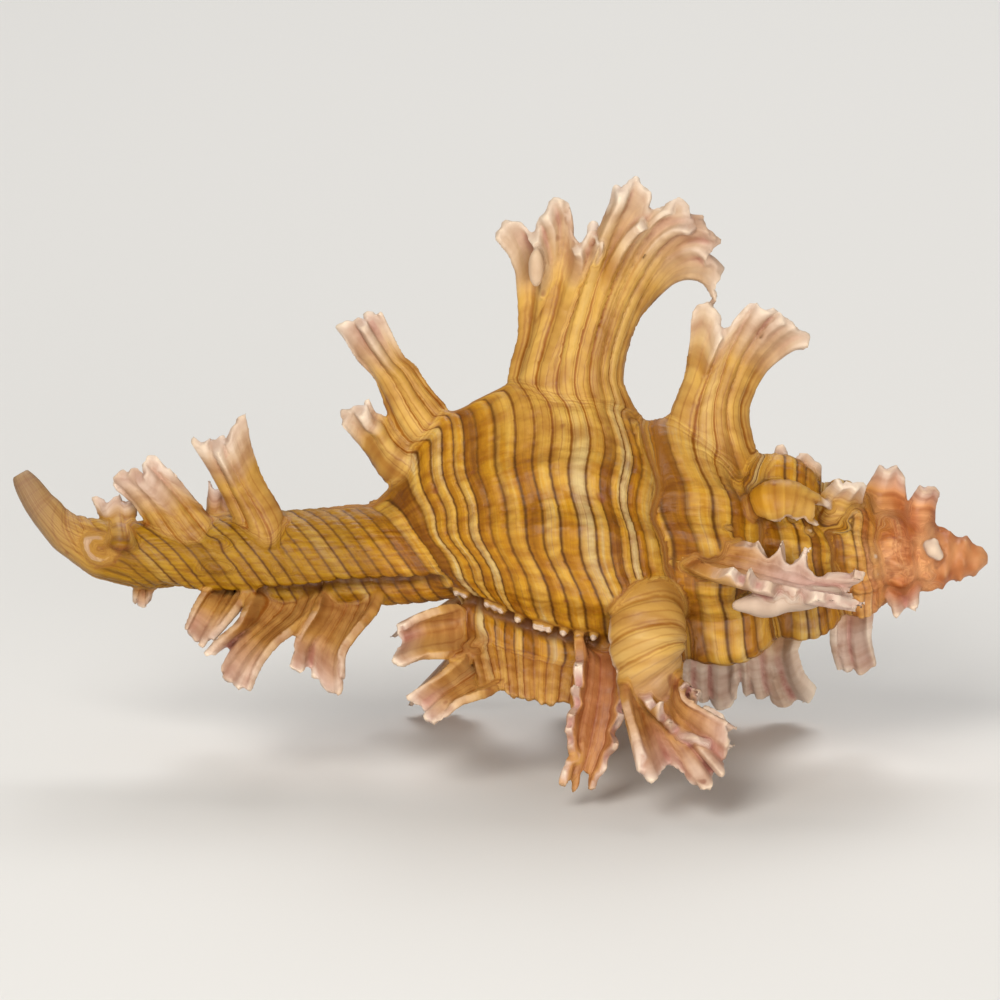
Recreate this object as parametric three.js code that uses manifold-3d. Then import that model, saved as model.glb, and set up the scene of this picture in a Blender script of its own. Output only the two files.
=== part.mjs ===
// A branched murex: a spiral sea shell about 100 mm long with three leafy ridges (varices) on each
// whorl. It grew as one piece, so it is one solid: coiled whorls, a long front canal, the hollow
// fronds of each varix, and the open mouth with the slot of the canal.
//
// Shell frame: x runs along the coiling axis towards the apex, r is the distance from that axis and
// a turn angle of 0 degrees points forward (-Y), 90 degrees points up (+Z). Growth runs towards
// larger angles. The shell then stands on its frond tips on the plane z = 0.
import * as THREE from "three";
import { mergeVertices } from "three/addons/utils/BufferGeometryUtils.js";
import Module from "manifold-3d";

const wasm = await Module();
wasm.setup();

// Driving dimensions, in millimetres, degrees and turns.
const APEX_X = 51.5; // the point that the coil winds towards
const SUTURE_REACH = 37.5; // from there to the last suture at the lip
const SHOULDER_RADIUS = 12.8; // the last whorl at the lip
const RISE_PER_TURN = 1.4; // each turn is this much taller than the one before
const WIDEN_PER_TURN = 1.3; // and this much wider
const TURNS = 6;
const LIP_ANGLE = 80; // the last varix, which is the outer lip
const VARIX_TURNS = [0, 0.285, 0.6]; // the varices of a turn, counted forward from turn -1
const VARIX_HEIGHT = 6; // crest above the last whorl
const CREST_BEHIND = 0.075; // turns over which a crest rises
const CREST_AHEAD = 0.036; // turns over which its face falls
const MOUTH_REACH = 46.4; // from the coil's point to the middle of the mouth, along the axis
const MOUTH_RADIUS = 8.5; // the middle of the mouth, from the axis
const MOUTH_HALF = [7.8, 4.3]; // half its length and half its width
const MOUTH_TAPER = 2.6; // how fast the hollow narrows per turn inwards
const CANAL_SLOT = 1.2; // width of the canal's open slot
const SLOT_ANGLE = 118; // it runs along the back of the canal, from the mouth
const FINEST = 0.03; // edges and steps smaller than this are smoothed away
const LEAN = 15; // the shell leans back by this on its frond tips

const rad = THREE.MathUtils.degToRad;
const clamp = THREE.MathUtils.clamp;
const mix = THREE.MathUtils.lerp;

// The value at s of a line through [s, value] pairs in rising order of s.
function along(pairs, s) {
  const last = pairs.length - 1;
  if (s <= pairs[0][0]) return pairs[0][1];
  for (let i = 1; i <= last; i++) {
    const [s0, a] = pairs[i - 1];
    const [s1, b] = pairs[i];
    if (s <= s1) return mix(a, b, (s - s0) / (s1 - s0));
  }
  return pairs[last][1];
}

// The axis sags a little towards the apex, and the canal's end curves up and forward.
const AXIS_HEIGHT = [[-50, 8.6], [-47.5, 4.6], [-45, 1.6], [-42, -0.2], [-37, -1], [-20, -1], [5, 0], [50, -1.1]];

// A point of the shell frame as [x, y, z], before the shell leans back.
function place(x, r, degrees) {
  const a = rad(degrees);
  return [x, -r * Math.cos(a), r * Math.sin(a) + along(AXIS_HEIGHT, x)];
}

// A closed solid from a list of closed rings with the same number of points, capped at both ends.
function loft(rings) {
  const n = rings[0].length;
  const points = rings.flat();
  const faces = [];
  for (let i = 0; i + 1 < rings.length; i++) {
    for (let j = 0; j < n; j++) {
      const a = i * n + j;
      const b = i * n + ((j + 1) % n);
      faces.push([a, b, b + n], [a, b + n, a + n]);
    }
  }
  for (const [ring, end] of [[rings[0], 0], [rings[rings.length - 1], rings.length - 1]]) {
    const middle = points.length;
    points.push([0, 1, 2].map((k) => ring.reduce((sum, p) => sum + p[k], 0) / n));
    for (let j = 0; j < n; j++) {
      const a = end * n + j;
      const b = end * n + ((j + 1) % n);
      faces.push(end === 0 ? [b, a, middle] : [a, b, middle]);
    }
  }
  return solid(points, faces);
}

// A manifold-3d solid from points and faces, turned so that its faces point out.
function solid(points, faces) {
  const plain = new THREE.BufferGeometry();
  plain.setAttribute("position", new THREE.Float32BufferAttribute(points.flat(), 3));
  plain.setIndex(faces.flat());
  const merged = mergeVertices(plain, 1e-3);
  const vertProperties = new Float32Array(merged.attributes.position.array);
  const triVerts = new Uint32Array(merged.index.array);
  let made = new wasm.Manifold(new wasm.Mesh({ numProp: 3, vertProperties, triVerts }));
  if (made.volume() < 0) {
    for (let i = 0; i < triVerts.length; i += 3) {
      [triVerts[i + 1], triVerts[i + 2]] = [triVerts[i + 2], triVerts[i + 1]];
    }
    made = new wasm.Manifold(new wasm.Mesh({ numProp: 3, vertProperties, triVerts }));
  }
  return made;
}

// --- Whorls: a meridian profile that widens and rises as it turns about the axis. ---

// [distance from apex over the suture's, radius over the shoulder's, share of the varix's height]
// from the suture to the neck.
const WHORL_PROFILE = [
  [0.97, 0.62, 0.6], [1.02, 0.8, 0.75], [1.1, 0.93, 0.9], [1.2, 1, 0.95],
  [1.32, 0.98, 0.95], [1.42, 0.92, 0.82], [1.5, 0.81, 0.8], [1.58, 0.66, 1],
  [1.65, 0.53, 0.65], [1.7, 0.44, 0.1], [1.8, 0.34, 0], [1.93, 0.27, 0],
];

// How far a varix stands out at turn t, from 0 between varices to 1 on a crest.
function crest(t) {
  let best = 0;
  for (let turn = -TURNS; turn <= 0; turn++) {
    for (const step of VARIX_TURNS) {
      const past = t - (turn + step);
      const rise = past <= 0 ? Math.exp(-((past / CREST_BEHIND) ** 2)) : 1 - past / CREST_AHEAD;
      best = Math.max(best, rise);
    }
  }
  return best;
}

function whorlRing(t) {
  const tall = SUTURE_REACH * RISE_PER_TURN ** t;
  const wide = SHOULDER_RADIUS * WIDEN_PER_TURN ** t;
  const stand = (VARIX_HEIGHT * wide) / SHOULDER_RADIUS;
  const outer = WHORL_PROFILE.map(([reach, radius, share]) => {
    return [APEX_X - tall * reach, wide * radius + stand * share * crest(t)];
  });
  const core = 0.1 * wide;
  const first = outer[0][0];
  const last = outer[outer.length - 1][0];
  return [...outer, [last, core], [first, core]].map(([x, r]) => place(x, r, LIP_ANGLE + 360 * t));
}

// The coil in pieces of a third of a turn. Each begins one section inside the piece before it, and
// the sections stand close together at a crest's steep face.
function whorlPieces() {
  const stops = [];
  for (let turn = -TURNS; turn < 0; turn++) {
    for (const step of VARIX_TURNS) {
      const sections = turn < -3 ? [0, 0.036, 0.13, 0.22] : [0, 0.018, 0.036, 0.09, 0.15, 0.2, 0.24];
      for (const past of sections) stops.push(turn + step + past);
    }
    stops.push(turn + 0.9, turn + 0.95);
  }
  stops.push(0);
  stops.sort((a, b) => a - b);
  const pieces = [];
  const most = 8;
  for (let i = 0; i + 1 < stops.length; i += most - 1) {
    pieces.push(loft(stops.slice(Math.max(0, i - 1), i + most).map(whorlRing)));
  }
  return pieces;
}

// The pillar that the whorls wind round, with the blunt tip of the spire at its end: [x, r].
const PILLAR = [
  [-24, 1.8], [14, 1.8], [30, 1.2], [44, 0.9], [45.4, 2.4], [46.8, 2.5], [48.4, 1.8], [49.6, 1.1], [50.3, 0.6],
];

function pillar() {
  const angles = [0, 36, 72, 108, 144, 180, 216, 252, 288, 324];
  return loft(PILLAR.map(([x, r]) => angles.map((a) => place(x, r, a))));
}

// --- Canal: a tapering tube that leaves the last whorl and curves up at its end. ---

const CANAL_RADIUS = [[-48.8, 1.4], [-46, 2.2], [-42, 2.7], [-36, 3.2], [-25, 3.9], [-12, 4.4], [-3, 4], [7, 3.2]];

function canal() {
  const sides = 14;
  const stations = [-48.8, -48, -46.5, -44.5, -42, -38, -32, -25, -18, -12, -4, 7];
  return loft(stations.map((x) => {
    const ring = [];
    for (let j = 0; j < sides; j++) {
      const angle = (360 * j) / sides;
      const keel = Math.max(0, Math.cos(rad(angle - LIP_ANGLE))) ** 6 + Math.max(0, Math.cos(rad(angle + 60))) ** 6;
      const tilt = clamp((-42 - x) / 7, 0, 1); // the end's sections turn with the curved centreline
      const r = along(CANAL_RADIUS, x) * (1 + 0.25 * keel * (1 - tilt));
      const [px, py, pz] = place(x, r, angle);
      const rise = pz - along(AXIS_HEIGHT, x);
      ring.push([px + rise * 0.85 * tilt, py, along(AXIS_HEIGHT, x) + rise * (1 - 0.5 * tilt)]);
    }
    return ring;
  }));
}

// --- Fronds: folded blades that start on a crest, narrow to a neck and fan out into fingers. ---

// at: turn angle. root, neck, tips: [x, r]. half: half widths at root and neck. curl: how far the
// blade's section bends towards growth, in degrees. roll: turns the open side towards the canal.
// sway: how far the tips lean towards growth. notch: depth of the gaps between the fingers.
const FRONDS = [
  // outer lip, from the canal's end to the last whorl's shoulder
  { at: 98, root: [-38.4, 2], neck: [-38.9, 4.2], half: [1.7, 1.2], tips: [[-41.9, 5.9], [-40.2, 5.6], [-37.3, 6.8]] },
  { at: 72, root: [-31.2, 2.4], neck: [-34.3, 6.2], half: [3, 2.2], tips: [[-40, 7.6], [-38.8, 8.8], [-35.9, 10.6], [-33.9, 9.6]] },
  { at: 100, root: [-28.6, 2.4], neck: [-29.2, 5.2], half: [1.6, 1], tips: [[-30.3, 8], [-27.6, 5]] },
  { at: 74, root: [-23.8, 2.6], neck: [-26, 8.2], half: [2.8, 1.9], tips: [[-31.8, 12.6], [-29, 12.4], [-26, 15.2]] },
  { at: 78, root: [-7.4, 6.6], neck: [-12.4, 11.8], half: [2.6, 1.6], tips: [[-16.5, 15.2], [-15.2, 15.6], [-13.7, 16.8], [-12, 13.8]] },
  { at: 80, root: [-6.8, 11.4], neck: [-10.8, 18.4], half: [2.4, 1.5], tips: [[-16.8, 23.8], [-15.2, 24.8], [-12.2, 25]] },
  {
    at: 80, root: [7, 12.6], neck: [7.5, 22], half: [7.4, 4.8], curl: 120, notch: 0.16,
    tips: [[-0.3, 32.6], [1.4, 34.4], [6.2, 36.8], [9.2, 33.6], [14.2, 39.2], [19.2, 36.4], [22.4, 32.6]],
  },
  { at: 80, root: [12.6, 24], neck: [18.6, 29], half: [2, 1.8], curl: 60, tips: [[22.8, 30.4], [21.7, 27.4]] },
  // the same varix one and more turns earlier
  {
    at: 80, root: [21.6, 10.4], neck: [22.2, 18.8], half: [4.8, 3], notch: 0.22,
    tips: [[19.6, 24.4], [22, 24.8], [23.4, 22.6], [26.6, 25.6], [28.8, 25], [31.8, 22]],
  },
  { at: 84, root: [30, 6.6], neck: [30.4, 9], half: [2.8, 2.2], tips: [[28.9, 11.4], [31.4, 10.4], [33, 9.6]] },
  { at: 50, root: [35.2, 5], neck: [35.4, 7.6], half: [1.8, 1.7], tips: [[33.6, 8.8], [35.2, 9.6], [37.2, 9]] },
  { at: 80, root: [39.9, 3.9], neck: [39.8, 6.8], half: [1.8, 1.2], tips: [[38.8, 8.8], [41.2, 8.9]] },
  { at: 80, root: [43.6, 3], neck: [43.8, 5.2], half: [1.3, 0.8], tips: [[43.4, 7], [45.1, 6.6]] },
  // second varix, from the canal to the shoulder
  { at: -60, root: [-26.6, 3.6], neck: [-29.2, 7.6], half: [2.2, 1.4], tips: [[-32.3, 9.8], [-30.8, 11.4], [-29.2, 11.2]] },
  { at: -60, root: [-21.4, 4.4], neck: [-24.8, 9.4], half: [3, 2.2], curl: 130, tips: [[-30.4, 12.2], [-28, 14.8], [-25.6, 17.2]] },
  { at: -60, root: [-15.4, 5], neck: [-17, 11.2], half: [3.4, 1.5], curl: 150, tips: [[-21.1, 14.4], [-18.6, 16.2], [-16, 17.8]] },
  { at: -56, root: [3, 8.6], neck: [-5.8, 11], half: [3, 1.5], tips: [[-10.6, 9.9], [-8.6, 9.6], [-10.6, 14.2]] },
  { at: -60, root: [4, 12], neck: [-3.2, 15], half: [3, 1.8], curl: 130, tips: [[-9.8, 19.4], [-8, 21.4], [-6.6, 22.6]] },
  {
    at: -60, root: [3, 8], neck: [2.8, 13.4], half: [5.6, 5.2], curl: 50, notch: 0,
    tips: [[-2.4, 16.4], [1, 16.6], [4.4, 16.8], [8, 17.2]],
  },
  {
    at: -62, root: [9.8, 12], neck: [9.2, 19], half: [2.8, 2.4], curl: 160, notch: 0.12,
    tips: [[5.4, 25.8], [5.9, 28], [8.4, 29.2], [10.4, 28.6], [11.6, 24.8]],
  },
  {
    at: -52, root: [15, 9.4], neck: [14.8, 20], half: [4.3, 3.6], curl: 230, roll: 40, notch: 0.22,
    tips: [[14, 28.4], [16, 30.8], [20.6, 31.6], [22.8, 29.2], [23.6, 25.6], [23, 22.4]],
  },
  // the same varix one and more turns earlier
  {
    at: -34, root: [22.6, 8.6], neck: [26.4, 13.6], half: [3.6, 2.4], curl: 190, notch: 0.14,
    tips: [[27.4, 16.6], [31, 16.4], [34.6, 16.2]],
  },
  { at: -50, root: [32, 6.2], neck: [33, 8.6], half: [2, 1.4], tips: [[32.4, 10.6], [35.2, 10.4]] },
  { at: -60, root: [40.4, 3.6], neck: [40.9, 5.6], half: [1.6, 1.2], tips: [[40.4, 7.4], [42.4, 7.2]] },
  // third varix, behind
  { at: -112, root: [-36, 2.4], neck: [-36.6, 4.6], half: [0.9, 0.8], tips: [[-37.6, 6.2], [-36.2, 6.6]] },
  { at: -152, root: [-24, 3.6], neck: [-25.6, 7.8], half: [2.4, 1.6], tips: [[-30, 10.4], [-28, 12.2], [-24.6, 12.6]] },
  { at: -152, root: [-14, 4.6], neck: [-15.6, 9.6], half: [2.4, 1.5], tips: [[-19.4, 13.6], [-16.8, 15.2], [-14.4, 14.6]] },
  { at: -152, root: [2, 6.6], neck: [-6.6, 13.6], half: [2.4, 1.6], tips: [[-11.4, 18], [-8.6, 20.4], [-5.8, 19.6]] },
  {
    at: -143, root: [5, 7], neck: [-3, 18.4], half: [4, 2],
    tips: [[-9.6, 25.8], [-7.6, 27.2], [-4.6, 26.4], [-2.4, 24.6]],
  },
  {
    at: -148, root: [12, 11], neck: [12.6, 18.6], half: [4.4, 3.4], curl: 150, notch: 0.24,
    tips: [[6.4, 24.6], [9.4, 27.4], [13.2, 28.6], [16.8, 28], [19.4, 25.2]],
  },
  // the same varix one and more turns earlier
  {
    at: -139, root: [21.6, 8], neck: [20.9, 17.6], half: [3.8, 3.2],
    tips: [[17.2, 22.4], [19, 24.8], [21.2, 25.8], [24.4, 25.8]],
  },
  {
    at: -139, root: [28.6, 6.4], neck: [29.2, 16.6], half: [3, 3.4], notch: 0.12,
    tips: [[25.6, 24.2], [27.6, 24.6], [30.6, 25.8], [33, 22.6]],
  },
  { at: -125, root: [36.2, 5], neck: [36.4, 10.4], half: [2.4, 1.6], tips: [[35.2, 15.8], [37.4, 16.2], [39.1, 15]] },
];

// Where the blade is at u (-1 to 1 across it) and v (0 at the root, 1 at the tips).
function bladePoint(f, u, v) {
  const curl = rad(mix(f.curl ?? 100, 30, clamp(2 * v - 0.7, 0, 1)));
  const turn = (curl / 2) * u + rad(f.roll ?? 0) * (1 - v);
  const tight = Math.sin(Math.min(curl, Math.PI) / 2);
  const side = Math.sin(turn) / tight;
  const [dx, dr] = [f.neck[0] - f.root[0], f.neck[1] - f.root[1]];
  const length = Math.hypot(dx, dr);
  const count = f.tips.length - 1;
  const at = clamp((side + 1) / 2, 0, 1) * count;
  const finger = Math.min(Math.floor(at), count - 1);
  const between = at - finger;
  const gap = (f.notch ?? 0.14) * Math.exp(-(((between - 0.5) / 0.2) ** 2));
  const w = v * (1 - gap);
  const point = [0, 1].map((k) => {
    const across = k === 0 ? dr / length : -dx / length;
    const root = f.root[k] + across * f.half[0] * side;
    const neck = f.neck[k] + across * f.half[1] * side;
    const tip = mix(f.tips[finger][k], f.tips[finger + 1][k], between);
    return root * (1 - w) * (1 - 2 * w) + neck * 4 * w * (1 - w) + tip * w * (2 * w - 1);
  });
  const deep = (mix(f.half[0], f.half[1], Math.min(1, 2 * v)) * (1 - Math.cos(turn))) / tight;
  const forward = deep + (f.sway ?? 0) * v * v;
  const [x, y, z] = place(point[0], point[1], f.at);
  const a = rad(f.at);
  return new THREE.Vector3(x, y + forward * Math.sin(a), z + forward * Math.cos(a));
}

// A frond as a closed blade: two sheets either side of the blade's surface, joined at the rim.
function frond(f) {
  const columns = 2 * (f.tips.length - 1) + 1;
  const rows = f.tips.length > 3 ? 6 : 5;
  const grid = [];
  for (let i = 0; i < rows; i++) {
    for (let j = 0; j < columns; j++) {
      grid.push(bladePoint(f, (2 * j) / (columns - 1) - 1, i / (rows - 1)));
    }
  }
  const at = (i, j) => grid[clamp(i, 0, rows - 1) * columns + clamp(j, 0, columns - 1)];
  const sheets = [1, -1].map((side) => grid.map((p, k) => {
    const [i, j] = [Math.floor(k / columns), k % columns];
    const across = at(i, j + 1).clone().sub(at(i, j - 1));
    const normal = at(i + 1, j).clone().sub(at(i - 1, j)).cross(across).normalize();
    const thick = mix(1.3, 0.8, i / (rows - 1)) / 2;
    return p.clone().addScaledVector(normal, side * thick).toArray();
  }));
  const n = rows * columns;
  const faces = [];
  for (let i = 0; i + 1 < rows; i++) {
    for (let j = 0; j + 1 < columns; j++) {
      const a = i * columns + j;
      const [b, c, d] = [a + 1, a + columns, a + columns + 1];
      faces.push([a, b, d], [a, d, c], [n + a, n + d, n + b], [n + a, n + c, n + d]);
    }
  }
  const rim = [];
  for (let j = 0; j < columns - 1; j++) rim.push(j);
  for (let i = 0; i < rows - 1; i++) rim.push(i * columns + columns - 1);
  for (let j = columns - 1; j > 0; j--) rim.push((rows - 1) * columns + j);
  for (let i = rows - 1; i > 0; i--) rim.push(i * columns);
  rim.forEach((a, k) => {
    const b = rim[(k + 1) % rim.length];
    faces.push([a, n + b, b], [a, n + a, n + b]);
  });
  return solid([...sheets[0], ...sheets[1]], faces);
}

// --- The mouth: a tapering hollow that opens at the lip and follows the last whorl inwards. ---

function mouth() {
  const sides = 16;
  const stops = [0.035, 0, -0.05, -0.12, -0.2, -0.28, -0.36];
  return loft(stops.map((t) => {
    const share = clamp(1 + MOUTH_TAPER * t, 0.24, 1.02);
    const middleX = APEX_X - MOUTH_REACH * RISE_PER_TURN ** t;
    const middleR = MOUTH_RADIUS * WIDEN_PER_TURN ** t;
    const ring = [];
    for (let j = 0; j < sides; j++) {
      const a = (2 * Math.PI * j) / sides;
      const x = middleX + MOUTH_HALF[0] * share * Math.cos(a);
      const r = middleR + MOUTH_HALF[1] * share * Math.sin(a);
      ring.push(place(x, r, LIP_ANGLE + 2 + 360 * t));
    }
    return ring;
  }));
}

// The slot that runs from the mouth along the back of the canal.
function canalSlot() {
  const stations = [-46, -44, -40, -34, -26, -17, -9, -2];
  return loft(stations.map((x) => {
    const top = along(CANAL_RADIUS, x) + 4;
    const floor = 0.35 * along(CANAL_RADIUS, x);
    const half = CANAL_SLOT / 2;
    const corner = (side, r) => {
      const [px, py, pz] = place(x, r, SLOT_ANGLE);
      const turned = rad(SLOT_ANGLE);
      return [px, py + side * half * Math.sin(turned), pz + side * half * Math.cos(turned)];
    };
    return [corner(-1, floor), corner(1, floor), corner(1, top), corner(-1, top)];
  }));
}

const grown = wasm.Manifold.union([...whorlPieces(), pillar(), canal(), ...FRONDS.map(frond)]);
const opened = grown.subtract(mouth()).subtract(canalSlot());
const largest = opened.simplify(FINEST).decompose().sort((a, b) => b.volume() - a.volume())[0];

function toGeometry(made) {
  const mesh = made.getMesh();
  const geometry = new THREE.BufferGeometry();
  geometry.setAttribute("position", new THREE.BufferAttribute(mesh.vertProperties, 3));
  geometry.setIndex(new THREE.BufferAttribute(mesh.triVerts, 1));
  geometry.computeVertexNormals();
  return geometry;
}

const shellMaterial = new THREE.MeshStandardMaterial({ color: 0xc99a4b, roughness: 0.55, metalness: 0 });
const shell = new THREE.Mesh(toGeometry(largest), shellMaterial);
shell.name = "murex_shell";

const murex = new THREE.Group();
murex.add(shell);
murex.rotation.x = -rad(LEAN);
murex.updateMatrixWorld(true);
const box = new THREE.Box3().setFromObject(shell, true);
murex.position.set(-(box.min.x + box.max.x) / 2, -(box.min.y + box.max.y) / 2, -box.min.z);

export default murex;
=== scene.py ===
import math

import bmesh
import bpy
import numpy as np
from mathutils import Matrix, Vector


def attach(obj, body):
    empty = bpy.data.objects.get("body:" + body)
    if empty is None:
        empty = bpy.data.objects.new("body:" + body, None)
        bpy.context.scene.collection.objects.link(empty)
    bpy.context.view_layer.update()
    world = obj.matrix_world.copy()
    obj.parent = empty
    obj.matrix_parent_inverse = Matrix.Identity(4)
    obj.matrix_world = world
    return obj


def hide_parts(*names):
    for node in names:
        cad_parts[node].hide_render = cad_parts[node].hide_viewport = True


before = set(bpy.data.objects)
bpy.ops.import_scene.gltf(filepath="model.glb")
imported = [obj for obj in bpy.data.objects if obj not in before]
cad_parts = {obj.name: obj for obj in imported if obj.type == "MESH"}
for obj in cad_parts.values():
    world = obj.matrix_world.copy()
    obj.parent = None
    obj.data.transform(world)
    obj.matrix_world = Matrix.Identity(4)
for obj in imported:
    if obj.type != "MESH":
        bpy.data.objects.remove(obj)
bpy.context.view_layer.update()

# --- The coil ---------------------------------------------------------------------------------
# The whorls of a branched murex: one tube of shell wound six times round an axis along X, wider
# and taller with every turn. The animal laid it down at the lip, so it is one piece, with three
# thick ridges (varices) on a turn and low folds between them.

MM = 0.001
LEAN = math.radians(15)  # the shell leans back by this on its frond tips
AXIS_AT = np.array([-0.18, 2.92, 22.31])  # the middle of the axis, in millimetres
AXIS_HEIGHT = ([-50, -47.5, -45, -42, -37, -20, 5, 50], [8.6, 4.6, 1.6, -0.2, -1, -1, 0, -1.1])
APEX_X = 51.5  # the point that the coil winds towards
SUTURE_REACH = 37.5  # from there to the last suture at the lip
SHOULDER_RADIUS = 12.8
RISE_PER_TURN = 1.4
WIDEN_PER_TURN = 1.3
TURNS = 6
LIP_ANGLE = 80
VARICES = np.array([0, 0.285, 0.6])  # turns at which a turn's varices stand
VARIX_HEIGHT = 5.6
CREST_BEHIND = 0.07  # turns over which a varix rises
CREST_AHEAD = 0.034  # turns over which its steep face drops
FOLDS = np.array([0.1, 0.19, 0.39, 0.49, 0.71, 0.8, 0.88])  # turns at which its low folds stand
FOLD_HEIGHT = 1.0
FOLD_WIDTH = 0.022  # turns

# Reach (distance from the apex over the suture's), radius over the shoulder's, and share of the
# varix's height, from the suture to the neck.
PROFILE = np.array([
    (0.97, 0.62, 0.6), (1.02, 0.8, 0.75), (1.1, 0.93, 0.9), (1.2, 1, 0.95), (1.32, 0.98, 0.95),
    (1.42, 0.92, 0.82), (1.5, 0.81, 0.8), (1.58, 0.66, 1), (1.65, 0.53, 0.65), (1.7, 0.44, 0.1),
    (1.8, 0.34, 0), (1.93, 0.27, 0),
])

# Reaches at which the dark spiral lines run.
LINES = np.array([
    1.0, 1.04, 1.063, 1.086, 1.11, 1.14, 1.181, 1.23, 1.282, 1.33, 1.376, 1.43, 1.477, 1.509, 1.536,
    1.566, 1.595, 1.625, 1.651, 1.696,
])
NECK_REACH = LINES[-1]
CANAL_LINE_GAP = 1.6  # millimetres between the lines on the canal


def smooth_curve(points, count):
    """count points along a Catmull-Rom curve through the given points, at even steps of the length that the
    first two columns make."""
    p = np.asarray(points, float)
    padded = np.vstack([2 * p[0] - p[1], p, 2 * p[-1] - p[-2]])
    s = np.linspace(0, len(p) - 1 - 1e-9, 24 * len(p))
    i = s.astype(int)
    f = (s - i)[:, None]
    a, b, c, d = padded[i], padded[i + 1], padded[i + 2], padded[i + 3]
    square, cube = 2 * a - 5 * b + 4 * c - d, 3 * b - a - 3 * c + d
    curve = 0.5 * (2 * b + (c - a) * f + square * f**2 + cube * f**3)
    step = np.linalg.norm(np.diff(curve[:, :2], axis=0), axis=1)
    length = np.concatenate([[0], np.cumsum(step)])
    even = np.linspace(0, length[-1], count)
    return np.stack([np.interp(even, length, curve[:, k]) for k in range(p.shape[1])], axis=1)


def place(x, r, degrees, forward=0):
    """Points in the shared frame, in millimetres, from the distance x along the axis, the radius r and the
    turn angle (0 in front, 90 on top). forward moves them along the direction of growth at that angle. The
    axis is raised at the canal's end, and the whole shell then leans back."""
    a = np.radians(degrees)
    x, r, a, forward = np.broadcast_arrays(*(np.asarray(v, float) for v in (x, r, a, forward)))
    y = -r * np.cos(a) + forward * np.sin(a)
    z = r * np.sin(a) + forward * np.cos(a) + np.interp(x, *AXIS_HEIGHT)
    leaned = [x, y * math.cos(LEAN) + z * math.sin(LEAN), -y * math.sin(LEAN) + z * math.cos(LEAN)]
    return np.stack(leaned, axis=-1) + AXIS_AT


def tall(turn):
    """Distance from the apex to the suture at a turn (0 at the lip): it grows by a fixed ratio per turn."""
    return SUTURE_REACH * RISE_PER_TURN**turn


def crest(turn):
    """How far a varix stands out, 0 to 1: a bell that rises behind each crest and a steep straight face
    ahead of it."""
    past = (turn[..., None] - VARICES + 0.5) % 1 - 0.5
    rise = np.where(past <= 0, np.exp(-((past / CREST_BEHIND) ** 2)), np.clip(1 - past / CREST_AHEAD, 0, 1))
    return rise.max(axis=-1)


def folds(turn):
    """Low rounded folds between the varices: a sum of narrow bells."""
    past = (turn[..., None] - FOLDS + 0.5) % 1 - 0.5
    return np.exp(-((past / FOLD_WIDTH) ** 2)).sum(axis=-1)


def line_phase(x, turn):
    """Counts the spiral lines from the suture outwards, whole on each line. On the whorls a line keeps its
    reach. Past the neck the lines are evenly spaced, slope less and less towards the canal's end, and stand
    twice as far apart on the older turns."""
    neck = APEX_X - NECK_REACH * tall(turn)
    last_neck = APEX_X - NECK_REACH * SUTURE_REACH
    slope = 1.1 * np.clip((x + 47) / 9, 0, 1)
    beyond = (last_neck + (neck - last_neck) * slope - x) / CANAL_LINE_GAP
    on_whorl = np.interp((APEX_X - x) / tall(turn), LINES, np.arange(len(LINES)))
    before = 25 * np.clip(1 - (APEX_X - x) / tall(turn), 0, 0.02)
    count = np.where(beyond > 0, len(LINES) - 1 + beyond, on_whorl - before)
    return np.where(turn < -1, 0.5 * count, count)


def grid_faces(rows, columns, closed=False):
    """Quads of a rows x columns grid of points. closed joins the last column to the first."""
    i, j = np.meshgrid(np.arange(rows - 1), np.arange(columns if closed else columns - 1), indexing="ij")
    k = (j + 1) % columns
    here, ahead = i * columns, (i + 1) * columns
    return np.stack([here + j, here + k, ahead + k, ahead + j], -1).reshape(-1, 4)


skin = {"points": [], "faces": [], "growth": [], "look": []}


def lay(points, faces, growth, look):
    """Adds one closed surface to the parts of the skin. growth is (line phase, turn, how near a crest or a
    frond's root), look is (how near a frond's tip, inner side, pinkness). Each is a value for every point or
    one for all."""
    before = sum(len(p) for p in skin["points"])
    flat = points.reshape(-1, 3)
    skin["points"].append(flat)
    skin["faces"].append(faces + before)
    for name, values in (("growth", growth), ("look", look)):
        columns = [np.broadcast_to(v, points.shape[:-1]).reshape(-1) for v in values]
        skin[name].append(np.stack(columns, axis=1))


def tube(rings):
    """Points and quads of a closed tube from rings (sections, points round, 3). Both ends close to a point,
    their ring's middle."""
    ends = [np.repeat(rings[k].mean(axis=0)[None, None], rings.shape[1], axis=1) for k in (0, -1)]
    points = np.concatenate([ends[0], rings, ends[1]])
    return points, grid_faces(len(points), rings.shape[1], closed=True)


def widen_ends(values):
    """Repeats the first and last row, for the points that close a tube's ends."""
    return np.concatenate([values[:1], values, values[-1:]])


def waver(a, b, seed):
    """Smooth irregular waves over two parameters: a sum of eight sine waves of seeded random direction and
    phase, brought to a height of about one."""
    pick = np.random.default_rng(seed)
    total = 0
    for _ in range(8):
        p, q, shift = pick.normal(0, 1), pick.normal(0, 1), pick.uniform(0, 2 * np.pi)
        total = total + np.sin(p * a + q * b + shift)
    return total / 2.8


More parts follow.
